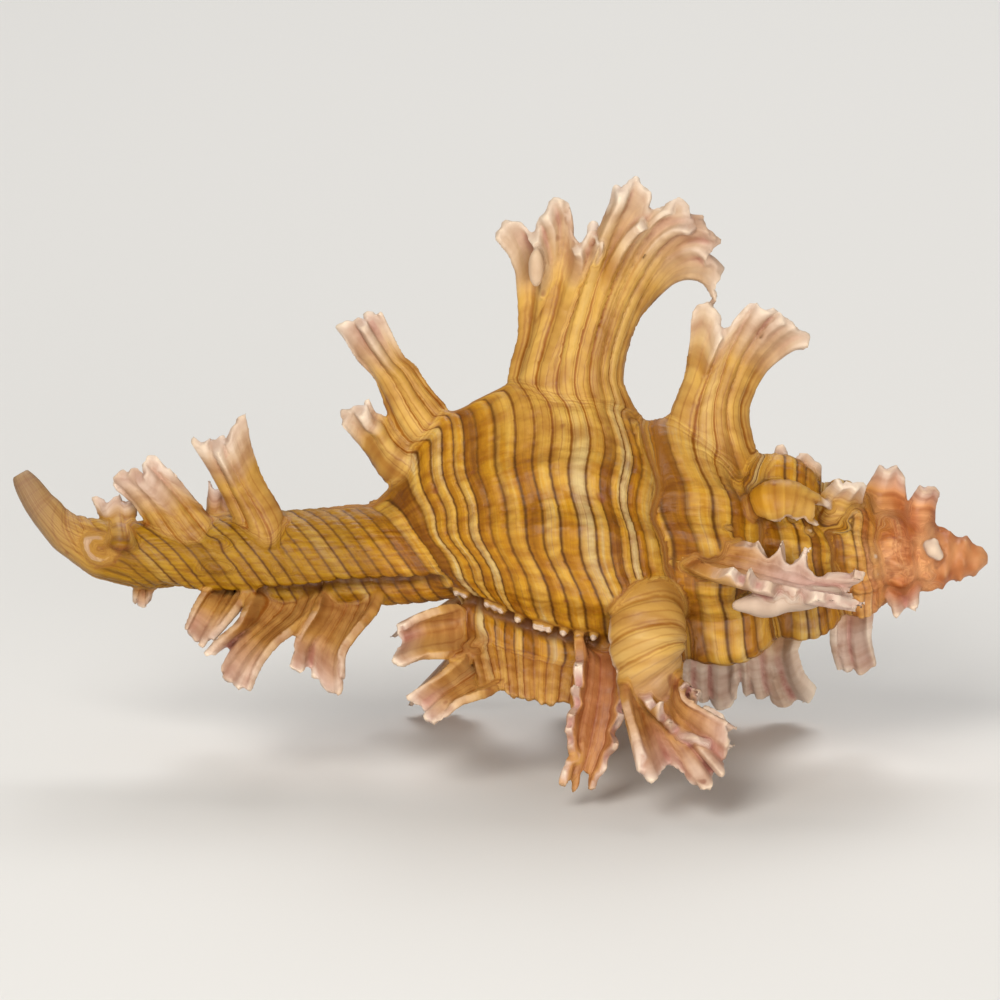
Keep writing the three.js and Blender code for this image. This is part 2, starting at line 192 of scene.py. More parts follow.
SECTIONS_PER_TURN = 220
POINTS_OUTSIDE = 110
KNOBS_PER_TURN = 12
turns = np.linspace(-TURNS, 0, SECTIONS_PER_TURN * TURNS)[:, None]
outer = smooth_curve(PROFILE, POINTS_OUTSIDE)
reach, radius, share = outer.T[:, None, :]
wide = SHOULDER_RADIUS * WIDEN_PER_TURN**turns
fold_share = np.interp(reach, [1, 1.12, 1.3, 1.45, 1.6], [0.5, 1, 1, 0.4, 0])
relief = VARIX_HEIGHT * share * crest(turns) + FOLD_HEIGHT * fold_share * folds(turns)
old = np.clip((-2.3 - turns) / 1.2, 0, 1)  # the early whorls are worn and knobby
knobs = np.clip(np.cos(2 * np.pi * KNOBS_PER_TURN * turns), -0.4, 1)
knobs = knobs * (0.6 + 0.4 * np.cos(2 * np.pi * reach / 0.3))
knobs = 1.5 * old * share * knobs
relief = relief * (1 - 0.4 * old) + knobs + 0.25 * waver(10 * reach, 55 * turns, 1)
drift = 0.026 * share * waver(3 * reach, 30 * turns, 2)
coil_x = APEX_X - tall(turns) * (reach + drift)
coil_r = wide * (radius + relief / SHOULDER_RADIUS)
line_x = np.broadcast_to(APEX_X - tall(turns) * reach, coil_x.shape)
# The section closes along the axis, from the profile's last reach back to its first.
back_x = APEX_X - tall(turns) * np.linspace(PROFILE[-1, 0], PROFILE[0, 0], 14)[None]
coil_x = np.hstack([coil_x, back_x])
line_x = np.hstack([line_x, back_x])
coil_r = np.hstack([coil_r, np.broadcast_to(0.1 * wide, back_x.shape)])
coil_turn = np.broadcast_to(turns, coil_x.shape)
coil_rings = place(coil_x, coil_r, LIP_ANGLE + 360 * coil_turn)
# The lip's face is pinkish white, like the inside of the mouth: one more ring just inside the edge.
lip_inner = 0.93 * coil_rings[-1:] + 0.07 * coil_rings[-1:].mean(axis=1, keepdims=True)
points, faces = tube(np.concatenate([coil_rings, lip_inner]))
inner_growth = (0.5, 0, 0)
inner_look = (0.9, 1, 0.35)
growth = [
    widen_ends(np.concatenate([v, np.full_like(v[:1], end)]))
    for v, end in zip((line_phase(line_x, coil_turn), coil_turn, crest(coil_turn)), inner_growth)
]
# The whorl turns golden, like the trunks, where the great fronds of the lip's varix rise from it: the
# middle of each trunk along the axis, its turn, and its half width.
trunks = [(7.2, 0, 6.5), (22.6, -1, 4.6)]
spread = [np.exp(-(((coil_x - x) / w) ** 2) - ((coil_turn - at) / 0.1) ** 2) for x, at, w in trunks]
golden = 0.3 * np.clip(1.3 * sum(spread), 0, 1)
look = [
    widen_ends(np.concatenate([v, np.full_like(v[:1], end)]))
    for v, end in zip((golden, 0 * golden, 0 * golden), inner_look)
]
lay(points, faces, growth, look)

# The solid pillar along the axis, (x, radius), which ends in the first whorls: a winding row of nodules.
PILLAR = np.array([
    (-24, 1.8), (14, 1.8), (30, 1.2), (42, 2.6), (44.6, 3.1), (46.4, 2.4), (48, 2), (49.4, 1.2), (50.2, 0.5),
])
NODULE_PITCH = 1.7
NODULE_HEIGHT = 0.55
pillar_x, pillar_r = smooth_curve(PILLAR, 200).T[:, :, None]
round_angle = np.linspace(0, 360, 48, endpoint=False)[None]
winding = 2 * np.pi * (pillar_x / NODULE_PITCH - round_angle / 360)
nodules = np.clip(np.cos(winding), -0.3, 1)
nodules = nodules * (0.6 + 0.4 * np.cos(np.radians(6 * round_angle) + 2 * pillar_x))
on_tip = NODULE_HEIGHT * np.clip((pillar_x - 40) / 3, 0, 1) * np.clip((51 - pillar_x) / 3, 0, 1)
pillar_r = pillar_r + on_tip * nodules
points, faces = tube(place(pillar_x, pillar_r, round_angle))
lay(points, faces, (5, -5.5, 0), (0, 0, 1))

# --- The canal ----------------------------------------------------------------------------------
# The long front canal: the lip is drawn out into a tapering tube, which curves up at its worn,
# whitish end. It grew with the last whorl and is the same piece of shell.

# The canal's taper, (x, radius).
CANAL = np.array([
    (-49.4, 0.9), (-48.6, 1.4), (-46, 2.1), (-42, 2.7), (-36, 3.2), (-25, 3.9), (-12, 4.4), (-3, 4),
    (7, 3.2),
])
SLOT_ANGLE = 118  # the open slot runs along the back of the canal
BEND_X = -42  # where the canal starts to curve up
LEDGE_STEP = 1.7  # millimetres that the last layer of shell stands over the one before


def canal_tube(stations, sides):
    """A tube along the axis whose radius follows the canal's taper, with a low keel along the lip's line
    and one along the second varix, and a step down in front where the last layer of shell ends. Past the
    bend the sections turn with the curved centre line. Returns x, radius, angle, lift and the station of
    each point."""
    x, r = smooth_curve(stations, 150).T[:, :, None]
    angle = (SLOT_ANGLE - 360 + np.arange(sides) * 360 / sides)[None]
    keel = 0.2 * np.clip(np.cos(np.radians(angle - LIP_ANGLE)), 0, 1) ** 6
    keel = keel + 0.4 * np.clip(np.cos(np.radians(angle + 72)), 0, 1) ** 6 * np.clip((x + 30) / 8, 0, 1)
    tilt = np.clip((BEND_X - x) / 7, 0, 1)
    edge = np.interp(x, [-31, -24, -16], [-62, -42, -32])
    ledge = 1 / (1 + np.exp(-(angle - edge) / 1.6)) - 0.5
    ledge *= np.clip((x + 36) / 5, 0, 1) * np.clip((60 - angle) / 60, 0, 1) ** 0.5
    radius = r * (1 + keel * (1 - tilt)) + LEDGE_STEP * ledge
    rise = radius * np.sin(np.radians(angle))
    level = np.interp(x, *AXIS_HEIGHT)
    turned_x = x + rise * 0.85 * tilt
    lift = level - np.interp(turned_x, *AXIS_HEIGHT) - 0.5 * rise * tilt
    return turned_x, radius, angle, lift, np.broadcast_to(x, turned_x.shape)


turned_x, radius, angle, lift, along_x = canal_tube(CANAL, 160)
rings = place(turned_x, radius, angle)
rings += lift[..., None] * np.array([0, math.sin(LEAN), math.cos(LEAN)])
canal_turn = np.broadcast_to((angle - LIP_ANGLE) / 360, turned_x.shape)
points, faces = tube(rings)
growth = [widen_ends(v) for v in (line_phase(along_x, canal_turn), canal_turn, 0 * canal_turn)]
worn = np.clip((-40 - along_x) / 6, 0, 1)
lay(points, faces, growth, [widen_ends(v) for v in (0.6 * worn, 0 * worn, 0.1 * worn)])

# --- The fronds -----------------------------------------------------------------------------------
# Each varix carries a row of fronds: blades of shell folded into channels that open towards
# growth, with a narrow root on the crest and a fan of pointed fingers, paler and pinker outwards.


def polyline(points, count):
    """count points along straight stretches between the given points, at even steps of length, and the
    whole length."""
    p = np.asarray(points, float)
    length = np.concatenate([[0], np.cumsum(np.linalg.norm(np.diff(p, axis=0), axis=1))])
    even = np.linspace(0, length[-1], count)
    return np.stack([np.interp(even, length, p[:, k]) for k in (0, 1)], axis=1), length[-1]


def soften(values, passes):
    """Averages each value with its two neighbours, a number of times, with the ends held."""
    out = values.copy()
    for _ in range(passes):
        out[1:-1] = 0.5 * out[1:-1] + 0.25 * (out[:-2] + out[2:])
    return out


def blade(points, thickness):
    """A closed blade from a grid of points: two sheets half a thickness either side along the grid's
    normals, and a strip round the rim. Returns points (2, rows, columns, 3) and quads."""
    rows, columns = points.shape[:2]
    normal = np.cross(np.gradient(points, axis=0), np.gradient(points, axis=1))
    normal /= np.linalg.norm(normal, axis=-1, keepdims=True) + 1e-12
    half = normal * thickness[..., None] / 2
    sheets = np.stack([points + half, points - half])
    n = rows * columns
    front = grid_faces(rows, columns)
    index = np.arange(n).reshape(rows, columns)
    rim = np.concatenate([index[0, :-1], index[:-1, -1], index[-1, :0:-1], index[:0:-1, 0]])
    after = np.roll(rim, -1)
    strip = np.stack([rim, after, after + n, rim + n], axis=1)
    return sheets, np.concatenate([front[:, ::-1], front + n, strip])


GAP_DEEPER = 1.1  # how much deeper the gaps between fingers are cut than their outline
rng = np.random.default_rng(7)


def frond(at, left, rim, right, bow=(1.5, 1.5, 0.6), turn=0, ripple=0.8, thick=(1.3, 0.75), square=True,
          pink=0.3, teeth=0.16, lean=(-2.5, -1.2, -0.2, 0), pale=(0, 1), emerge=0.3, inside=1.0):
    """A frond as a patch between a left edge, a right edge and a rim, each a list of (x, r) from the root
    outwards: points between the edges, pulled towards the rim with the square of the way up. The rim's gaps
    are deepened and its points moved at random, by teeth. at is its turn angle, and turn counts the whole
    turns from the lip's. bow is how far the edges bend towards growth at the root, half way and at the tips,
    ripple how far fingers and gaps bend towards growth and away from it, and lean how far the whole blade
    lies towards growth at the root, a third up, two thirds up and at the tips. thick is the thickness at root
    and tips.
    square keeps the outline as it looks from in front. pink is how pink its tips are, pale how pale it is at
    root and tips, and inside how salmon its inner side is. emerge is how far up the blade it leaves the
    whorl, where its lines join the whorl's."""
    rim_points = polyline(rim, max(12, int(5 * polyline(rim, 2)[1])))[0]
    columns = len(rim_points)
    jitter = soften(rng.normal(0, 1, (columns, 2)), 1) * teeth
    jitter[[0, -1]] = 0
    local = soften(rim_points, 30)
    middle = 0.5 * (np.array(left[0]) + np.array(right[0]))
    within = np.linalg.norm(local - middle, axis=1) - np.linalg.norm(rim_points - middle, axis=1)
    deepen = GAP_DEEPER * np.clip(within, 0, None)[:, None] * (middle - rim_points)
    rim_points = rim_points + deepen / np.linalg.norm(middle - rim_points, axis=1, keepdims=True) + jitter
    rows = max(14, int(3 * max(polyline(left, 2)[1], polyline(right, 2)[1])))
    left_edge, right_edge = (polyline(edge, rows)[0] for edge in (left, right))
    left_edge, right_edge = soften(left_edge, 4), soften(right_edge, 4)
    u = np.linspace(0, 1, columns)[None, :, None]
    v = np.linspace(0, 1, rows)[:, None, None]
    between = left_edge[:, None] * (1 - u) + right_edge[:, None] * u
    flat = between + v**2 * (rim_points[None] - between[-1:])
    u, v = u[..., 0], v[..., 0]
    trend = soften(rim_points, 60)
    outward = np.linalg.norm(rim_points - middle, axis=1) - np.linalg.norm(trend - middle, axis=1)
    gaps = np.clip(outward, -1.2, 1.2)
    depth = np.interp(v, [0, 0.5, 1], bow)
    swing = np.interp(v, [0, 0.33, 0.67, 1], lean)
    forward = depth * np.abs(2 * u - 1) ** 2.2 + 1.5 * ripple * gaps[None] * v**2 + swing
    x, r = flat[..., 0], flat[..., 1]
    if square:
        r = r - forward / math.tan(math.radians(at))
    thickness = thick[0] + (thick[1] - thick[0]) * np.sqrt(v) * np.ones_like(u)
    sheets, faces = blade(place(x, r, at, forward), thickness)
    k = int(emerge * rows)
    root_angle = at + np.degrees(np.arctan2(forward[k : k + 1], r[k : k + 1]))
    root_turn = (root_angle - LIP_ANGLE) / 360 + turn + np.zeros_like(v)
    phase = line_phase(x[k : k + 1] * np.ones_like(v), root_turn)
    # The sheet that lies further towards growth is the inner one.
    ahead = place(0, 0, at, 1) - place(0, 0, at, 0)
    inner_first = ((sheets[0] - sheets[1]) @ ahead).mean() > 0
    inner = inside * np.array([1.0, 0.0] if inner_first else [0.0, 1.0])[:, None, None] * np.ones_like(x)
    edge = np.clip(np.abs(2 * u - 1) * 4 - 3, 0, 1) * np.clip(4 * v - 1, 0, 1) * (pink > 0.4)
    tip = np.maximum((pale[0] + (pale[1] - pale[0]) * v) * np.ones_like(u), 0.75 * edge)
    grown = (at - LIP_ANGLE) / 360 + turn + 0.12 * v * np.ones_like(u)
    root = np.clip(1 - 2.5 * v, 0, 1) * np.ones_like(u)
    lay(sheets, faces, (phase, grown, root), (tip, inner, pink))


# The outer lip's fronds, from the canal's end to the shoulder.
frond(98, [(-39.9, 0.5), (-40.3, 2.7), (-40.7, 4.1)],
      [(-42, 5.6), (-41.3, 5.6), (-40.7, 4.8), (-39.9, 5.5), (-39.2, 6.4), (-38.7, 5.6), (-37.5, 6.3)],
      [(-37.6, 0.9), (-38.1, 3), (-38.2, 4.6)], lean=(-4.6, -3, -1, 0), emerge=0.05, pink=0.2)
frond(74, [(-31.9, -1.5), (-35, 2.4), (-36, 5.3), (-37.5, 6.7)],
      [(-39.1, 7.1), (-40, 7.6), (-39.1, 9), (-38.3, 8.8), (-37.6, 9.5), (-37, 8.2), (-36.4, 9),
       (-36.8, 10.5), (-35.9, 11.1), (-34.9, 9.8), (-34, 9.8)],
      [(-24.5, -1.5), (-29.2, 3.3), (-31.9, 6.3)], lean=(-4.6, -3, -1, 0), emerge=0.05, pink=0.2)
frond(102, [(-30.6, 1), (-30.4, 4.3), (-30.5, 6.1)],
      [(-30.1, 8.4), (-29.4, 6.9), (-28.6, 7.6), (-28.2, 6.2), (-27.5, 5.8), (-27, 4.7)],
      [(-26.8, 1), (-27, 3.8), (-27.1, 4.2)], lean=(-4.6, -3, -1, 0), emerge=0.05, pink=0.8)
frond(76, [(-24.5, -1.6), (-28, 6.4), (-29.5, 9.3), (-31.1, 11.7)],
      [(-31.8, 12.8), (-30.6, 12.2), (-29.8, 12.8), (-29.2, 11.6), (-28.6, 13.1), (-28.1, 12.4),
       (-27.3, 13.8), (-26.8, 14.8), (-26.2, 15.5)],
      [(-20.3, -1.6), (-22.5, 4.8), (-24.4, 8), (-25.4, 11.1), (-25.8, 14.2)], lean=(-4.6, -3, -1, 0),
      emerge=0.05, pink=0.2)
frond(78, [(-7.7, 5.6), (-12, 8), (-13.2, 10.1), (-15.6, 13)],
      [(-16.4, 14.1), (-16.1, 14.6), (-16.5, 15.5), (-15.6, 15.4), (-15.1, 15.9), (-14.4, 15.1),
       (-13.7, 16.5), (-13.5, 15.4)],
      [(-6.2, 8.7), (-10.1, 11.7), (-10.9, 12.2), (-11.9, 14.1), (-12.4, 13.2), (-13.1, 14.7)], pink=0.2)
frond(80, [(-4.6, 5.4), (-8.2, 9.2), (-10.4, 12.1), (-12.3, 17.9), (-14, 19.5), (-15.4, 21.6)],
      [(-15.9, 22.6), (-16.8, 24.2), (-15.9, 24.4), (-14.9, 24.9), (-14.3, 24.2), (-13.7, 25.4),
       (-12.3, 25.4)],
      [(-2.1, 9.5), (-5.7, 14.9), (-7.1, 16.4), (-8.3, 18.4), (-9.1, 18.5), (-10.7, 22.3)], pink=0.2)
frond(80,
      [(0.5, 9.5), (0.8, 15.6), (1.7, 18.9), (2.6, 21.8), (2.8, 25), (2.7, 27.8), (2.1, 29.7), (0.8, 31.3)],
      [(-0.4, 32.6), (0.3, 34.3), (2.1, 34.2), (3.5, 32.2), (3.9, 34.3), (4.7, 34.9), (5.4, 36.5),
       (6, 36.2), (6.8, 36.4), (7, 33.3), (7.8, 31.1), (8.6, 32.1), (9.5, 34.1), (10.3, 32.2),
       (10.9, 33.1), (11.8, 38), (12.6, 37.2), (13.4, 38.6), (14.1, 39), (14.9, 37.9), (15.6, 37.3),
       (15.2, 35.8), (14.5, 33.9), (15.6, 35), (16.7, 35.9), (17.5, 35.3), (18.4, 36.7), (19.2, 36.1),
       (19.6, 34.8), (19, 33.4), (19.7, 33.1), (20.8, 35), (21.2, 33.6), (22.6, 32.3), (21.8, 31.6),
       (21.3, 30.4), (22.7, 29.3), (22.2, 27.9), (22.1, 25.8)],
      [(15.6, 9.5), (14.4, 13.7), (13.2, 15.4), (12.3, 17.2), (12.3, 19.3), (12.9, 21.7), (13.7, 24),
       (15.4, 26.5), (17, 28.1), (18.5, 28.7), (19.8, 28.5), (20.4, 27.8), (21.1, 26.2)],
      lean=(-4.5, -3, -0.8, 0), bow=(4, 3.4, 1.2), ripple=1.1, thick=(1.7, 0.75), pink=0.15)
# The same varix, one turn and more before.
frond(80, [(16.5, 8.4), (17.3, 13.7), (18, 15.5), (18.8, 17.6), (19.1, 20.5), (19.2, 23.7)],
      [(19.6, 25.2), (20.4, 25.8), (21.4, 26.1), (22.1, 25.4), (22.4, 24.2), (22.7, 22.9), (23.7, 23.9),
       (24.5, 24.3), (25.7, 25.7), (26.3, 26.3), (27.1, 25.4), (27.9, 25.2), (28.6, 25.5), (29, 24.5),
       (30.1, 24.1), (30.6, 23.4), (31.7, 23), (31.7, 22.1), (31.2, 21.4)],
      [(28.3, 6.6), (26.8, 9.2), (25.7, 11.6), (25, 13.9), (25, 15.2), (25.6, 17.3), (26.5, 19.1),
       (28, 20.6), (29.5, 21.7), (30.6, 21.6)], turn=-1, lean=(-3.6, -2.2, -0.5, 0),
      bow=(2.5, 2, 1), pink=0.2)
frond(86, [(27.3, 4.5), (27.6, 8.1), (28.4, 9.7)],
      [(28.5, 11.1), (29, 11.4), (29.6, 10.3), (30.4, 9.9), (31.2, 10.4), (32.1, 10.3), (33.1, 9.1)],
      [(32.4, 4.6), (32.6, 7), (32.3, 8.3)], turn=-1, pink=0.3)
frond(52, [(31.5, 3.5), (32.7, 7.4), (33.8, 8.9)],
      [(34.7, 9.9), (35.2, 9.2), (35.7, 9.7), (36.3, 9.1), (36.9, 9.7), (37.2, 8.6)],
      [(37, 2.7), (36.7, 4.6), (37.2, 6.9)], turn=-2, pink=0.1)
frond(80, [(36.8, 2.7), (37.4, 6.8), (38.2, 8.6)],
      [(38.7, 9), (39.2, 9.4), (40, 9), (40.7, 9.5), (41.4, 8.4)],
      [(41.7, 2.8), (41.4, 5.4), (40.9, 6.8)], turn=-2, pink=0.4)
frond(80, [(41.7, 1.8), (42.1, 5.6), (43, 7.2)],
      [(43.4, 7.5), (44, 7), (44.5, 7.5), (45.2, 7)],
      [(44.5, 1.9), (44.2, 4.5), (44.5, 5.6)], turn=-3, pink=0.6)

# The second varix, seen from inside its channels.
frond(-112, [(-37.2, 0.3), (-37.2, 2.5), (-37.1, 3.6)],
      [(-37.8, 5.2), (-37.1, 5.2), (-36.5, 5.7), (-36.1, 4.7)],
      [(-35.4, 0.3), (-35.5, 2.5), (-35.7, 3.7)], turn=0, pink=0.5)
frond(-60, [(-28.3, 0.3), (-30.9, 4.7), (-31.5, 6.4)],
      [(-32.3, 8.5), (-31.4, 9.3), (-30.8, 10.4), (-30.1, 9.8), (-29.5, 9.5)],
      [(-24.5, 1.5), (-26.2, 5), (-27.6, 6.6)], bow=(1.8, 2, 0.6), pink=0.5, inside=0.4)
frond(-60, [(-24.5, 1.1), (-26.3, 7.2), (-28.3, 8.8), (-29.2, 9.9)],
      [(-30.5, 11.2), (-29.6, 11.6), (-28.6, 10.8), (-27.7, 11.2), (-28, 12.6), (-28.7, 13.7),
       (-27.9, 14.3), (-27.2, 14.9), (-26.4, 15.5), (-25.5, 15.6)],
      [(-18, 2.9), (-19.8, 7.1), (-22.8, 8.8), (-24.4, 10.6), (-25.3, 12.7)], bow=(2.6, 3, 1), pink=0.5,
      inside=0.4)
frond(-60, [(-18.3, 1.7), (-18.6, 5.8), (-19.9, 8.2), (-19.3, 9.8)],
      [(-20.6, 11.6), (-21.3, 12.9), (-20.5, 13.7), (-19.4, 12.7), (-19, 13.9), (-18.6, 14.8),
       (-17.6, 15.5), (-16.6, 16.4), (-16.1, 15.7), (-16.3, 13.6)],
      [(-11.3, 3.2), (-12.7, 6.4), (-14.7, 8.4), (-16.5, 10.4), (-16.8, 12.7)], bow=(2.6, 3, 1), pink=0.5,
      inside=0.5)
frond(-57, [(-2.6, 6), (-6.2, 7.1), (-7.8, 7.9), (-8.5, 9)],
      [(-9.7, 9), (-10.2, 8.6), (-10.8, 9.3), (-10.2, 10.6), (-10.3, 11.5), (-10.8, 13.1), (-10.1, 13.5)],
      [(-2.1, 12.8), (-5.1, 12.2), (-6.5, 11.7), (-8.4, 11.9)], bow=(2, 2.4, 1.2), pink=0.5, inside=0.6)
frond(-60, [(0, 9.7), (-2.1, 10), (-4.1, 12.6), (-5.6, 14.2), (-6.4, 14.6), (-8.4, 16.5)],
      [(-9.6, 16.8), (-9, 17.4), (-8.1, 17.7), (-7.8, 18.4), (-7.7, 19.4), (-6.7, 19.9), (-5.9, 19.2)],
      [(1, 15.5), (-0.8, 16.5), (-3.4, 16.5), (-4.6, 17.4)], bow=(2, 2.4, 1), pink=0.5, inside=0.6)
frond(-60, [(-3.9, 7), (-3.3, 10.5), (-2.3, 15.3)],
      [(-2.1, 16.4), (0, 16.4), (1.5, 17.3), (3.1, 17.6), (4.1, 18.3), (5.1, 18.4), (6.7, 18), (7.7, 19.2)],
      [(9.3, 8.4), (9.1, 13.2), (8.5, 18)], bow=(0.5, 0.8, 0.6), ripple=0.6, pink=0.2, pale=(0, 0.25),
      inside=0.35)
frond(-54, [(12.6, 13.4), (12.2, 17.8), (12.6, 21), (12.9, 24.2)],
      [(14.1, 25.4), (14.5, 26), (13.9, 27), (14.6, 27.9), (15.4, 28.8), (16.5, 27.4), (17.4, 26.3),
       (18.5, 27.6), (19.8, 28.6), (21.1, 29.7), (21.2, 28.3), (21.4, 27), (22.5, 27.6), (22.7, 25.4),
       (23.3, 23.5), (22.8, 22.4), (23.2, 21.2)],
      [(18.5, 12.6), (17.7, 18.4), (19.1, 19.5), (20.6, 20.9)], bow=(3, 4.4, 3), ripple=1.4, pink=0.6)

FRONT_UP = np.array([0, math.sin(LEAN), math.cos(LEAN)])
FRONT_OUT = np.array([0, -math.cos(LEAN), math.sin(LEAN)])


def from_front(points):
    """Points in the shared frame from (x, up, out) as they lie from the front, square to the lean."""
    up, out = points[..., 1:2] * FRONT_UP, points[..., 2:] * FRONT_OUT
    return points[..., :1] * np.array([1.0, 0, 0]) + up + out + AXIS_AT


def channel(path, width, curl, open_to, pink=0.8, thick=(1.2, 0.8), teeth=0.5, turn=-0.4, phase=(8, 12),
            across=False, pale=(0, 1)):
    """A frond rolled into a channel: an arc carried along a smooth path of (x, up, out) points, as they lie
    from the front. width is half the channel's width and curl half the arc, in degrees, at even steps of the
    path; open_to is the way its open side faces. The arc's ends and the last rim are cut into small teeth.
    thick, pink and pale are as for a frond. phase is the count of spiral lines at one side and the other or,
    where they run across, at the root and the end."""
    rows, columns = 64, 49
    p = smooth_curve(np.asarray(path, float), rows)
    v = np.linspace(0, 1, rows)
    tangent = np.gradient(p, axis=0)
    tangent /= np.linalg.norm(tangent, axis=1, keepdims=True)
    opening = np.array(open_to, float) - (tangent @ np.array(open_to, float))[:, None] * tangent
    opening /= np.linalg.norm(opening, axis=1, keepdims=True)
    side = np.cross(tangent, opening)
    w = np.interp(v, np.linspace(0, 1, len(width)), width)
    c = np.radians(np.interp(v, np.linspace(0, 1, len(curl)), curl))
    nibble = soften(rng.normal(0, 2.4, (rows, 2)), 3)
    edge_cut = 1 + teeth * 0.35 * nibble * np.clip(3 * v - 0.6, 0, 1)[:, None]
    u = np.linspace(-1, 1, columns)[None]
    reach = np.where(u < 0, edge_cut[:, :1], edge_cut[:, 1:])
    bend = c[:, None] * u * (1 + (reach - 1) * u**2)
    size = (w / np.sin(np.minimum(c, np.pi / 2)))[:, None, None]
    end_cut = soften(rng.normal(0, 2, columns), 2) * teeth + 1.2 * u[0] ** 2
    stretch = (v**6)[:, None] * end_cut[None]
    arc = np.sin(bend)[..., None] * side[:, None] + (1 - np.cos(bend))[..., None] * opening[:, None]
    points = p[:, None] + size * arc
    points = points + stretch[..., None] * tangent[:, None]
    full_v = v[:, None] * np.ones_like(u)
    sheets, faces = blade(from_front(points), thick[0] + (thick[1] - thick[0]) * full_v)
    inward = (opening[:, None] @ np.stack([np.array([1.0, 0, 0]), FRONT_UP, FRONT_OUT])).reshape(rows, 1, 3)
    middle = columns // 2
    inner_first = ((sheets[0] - sheets[1])[:, middle] * inward[:, 0]).sum(axis=-1).mean() > 0
    inner = np.array([1.0, 0.0] if inner_first else [0.0, 1.0])[:, None, None] * np.ones_like(full_v)
    edge = np.clip((np.abs(u) * np.ones_like(full_v) - 0.6) / 0.4, 0, 1)
    tip = np.maximum(pale[0] + (pale[1] - pale[0]) * full_v, 1.05 * edge * np.clip(3 * full_v, 0, 1))
    lines = phase[0] + (phase[1] - phase[0]) * (full_v + 0.12 * u if across else (u + 1) / 2)
    root = np.clip(1 - 3 * full_v, 0, 1)
    lay(sheets, faces, (lines, turn + 0.12 * full_v, root), (tip, inner, pink))


# The gutter, the arch that bends forward over the next one, and the trough along the whorl before.
channel([(9.8, -8, 4), (10.2, -12, 8), (9.8, -16, 10.5), (9, -20.2, 12), (8.4, -22.6, 12.4)],
      (2, 2.4, 2.5, 2.5, 1.7), (80, 80, 80, 76, 60), (0.1, 0.25, 1), pink=0.9, teeth=0.75, pale=(0, 0.55))
channel([(14.6, -13.6, 9.5), (16.6, -15.8, 11.8), (18.6, -17.6, 12.6), (20.4, -19, 12.6)],
      (1.4, 1.8, 2.1, 1.9), (84, 82, 76, 64), (0.2, 0.5, 0.9), pink=0.5, teeth=1.2, pale=(0.2, 1.2))
channel([(17.4, -2.8, 6), (16.4, -5.4, 11.6), (15.6, -9, 13.4), (15.8, -13, 13), (17, -16.6, 11),
       (18.6, -18.6, 8.6)], (3, 3.6, 3.5, 3, 2.6, 2), (86, 86, 84, 80, 74, 70), (-0.25, -0.1, -1),
      pink=0.2, teeth=0.15, phase=(0, 6.5), across=True, thick=(1.4, 1), pale=(0.5, 0.85))
channel([(19.6, -1.6, 4), (22.4, -2, 9.4), (26, -2.8, 10.8), (30.6, -4, 11.4), (34, -4.8, 11.2)],
      (1.8, 2.5, 2.8, 2.4, 1.3), (76, 72, 68, 62, 54), (0, 0.75, 0.75), pink=0.5, teeth=1, turn=-1.4,
      thick=(1.5, 1.4), pale=(0.4, 1.5))
# A worn hood left of an old frond.
channel([(25.4, 4.6, 6.4), (27, 5.6, 7.6), (29.6, 5.8, 7.8), (32, 4.8, 7.2)], (1.3, 1.9, 1.9, 1.3),
      (80, 90, 90, 80), (0.1, -0.7, -0.8), pink=0.1, teeth=0.3, turn=-1.2, phase=(5.3, 5.7), pale=(0, 0.3))

# The third varix, behind and below.
# These three are painted paler, with pale (0.5, 1.3) and little salmon inside (0.1): a painted lift for the
# light that the body's shadow keeps off them.
frond(-139, [(18, 9.2), (18.1, 15.5), (17.7, 19.6)],
      [(18.5, 21.8), (19.6, 23.3), (20.3, 22.6), (21.4, 24.5), (22, 23), (22.8, 25.1), (23.8, 25.3),
       (24.3, 24.5), (24.5, 22.2)],
      [(25.2, 9), (24.9, 15.3), (24.5, 20)], turn=-1, bow=(2, 2, 0.8), pink=0.2, pale=(0.5, 1.3),
      inside=0.1)
frond(-139, [(24.9, 8), (24.9, 15.3), (25.2, 20.7)],
      [(25.6, 22.9), (26.3, 22), (27.3, 23.6), (28.1, 22.2), (29.2, 24.2), (30.1, 24.9), (31, 23.2),
       (31.9, 23.8), (32.6, 23.8), (33.1, 21.7)],
      [(30.9, 6.2), (30.9, 13.3), (30.3, 15.4), (30.8, 19.1), (32.1, 21.6)], turn=-1, bow=(2, 2, 0.8),
      pink=0.2, pale=(0.5, 1.3), inside=0.1)
frond(-125, [(34.6, 3.4), (34.3, 8.2), (34.2, 10.8), (34.8, 13.2)],
      [(35.3, 14.8), (35.8, 13.9), (36.2, 15), (36.8, 14), (37.4, 15.5), (38.2, 14.4), (39.1, 13.9)],
      [(38.5, 3.3), (38.2, 6.5), (37.6, 9.6), (37.7, 12.1)], turn=-2, bow=(1.2, 1.2, 0.5), pink=0.2,
      pale=(0.5, 1.3), inside=0.1)
frond(-60, [(39.1, 1.2), (39.3, 4), (39.5, 5.6)],
      [(40.1, 5.9), (40.7, 7.1), (41.5, 5.9), (42.4, 6.4), (42.6, 4.8)],
      [(43.7, 0.5), (43.2, 2.5), (42.9, 3.4)], turn=-2, bow=(1, 1, 0.4), pink=0.6)
frond(-152, [(-26, 1.5), (-27.6, 5), (-29, 8)],
      [(-30, 10.4), (-29, 10), (-28, 12.2), (-27, 11), (-25.8, 13), (-24.6, 12.6)],
      [(-20.5, 2), (-22.8, 6), (-24.2, 9.6)], square=False, pink=0.7)
frond(-152, [(-16.5, 2), (-17.2, 7), (-18.4, 10.6)],
      [(-19.4, 13.6), (-18.2, 12.8), (-16.8, 15.2), (-15.8, 13.4), (-14.4, 14.6)],
      [(-11, 2.6), (-13.2, 7), (-14, 11)], square=False, pink=0.7)
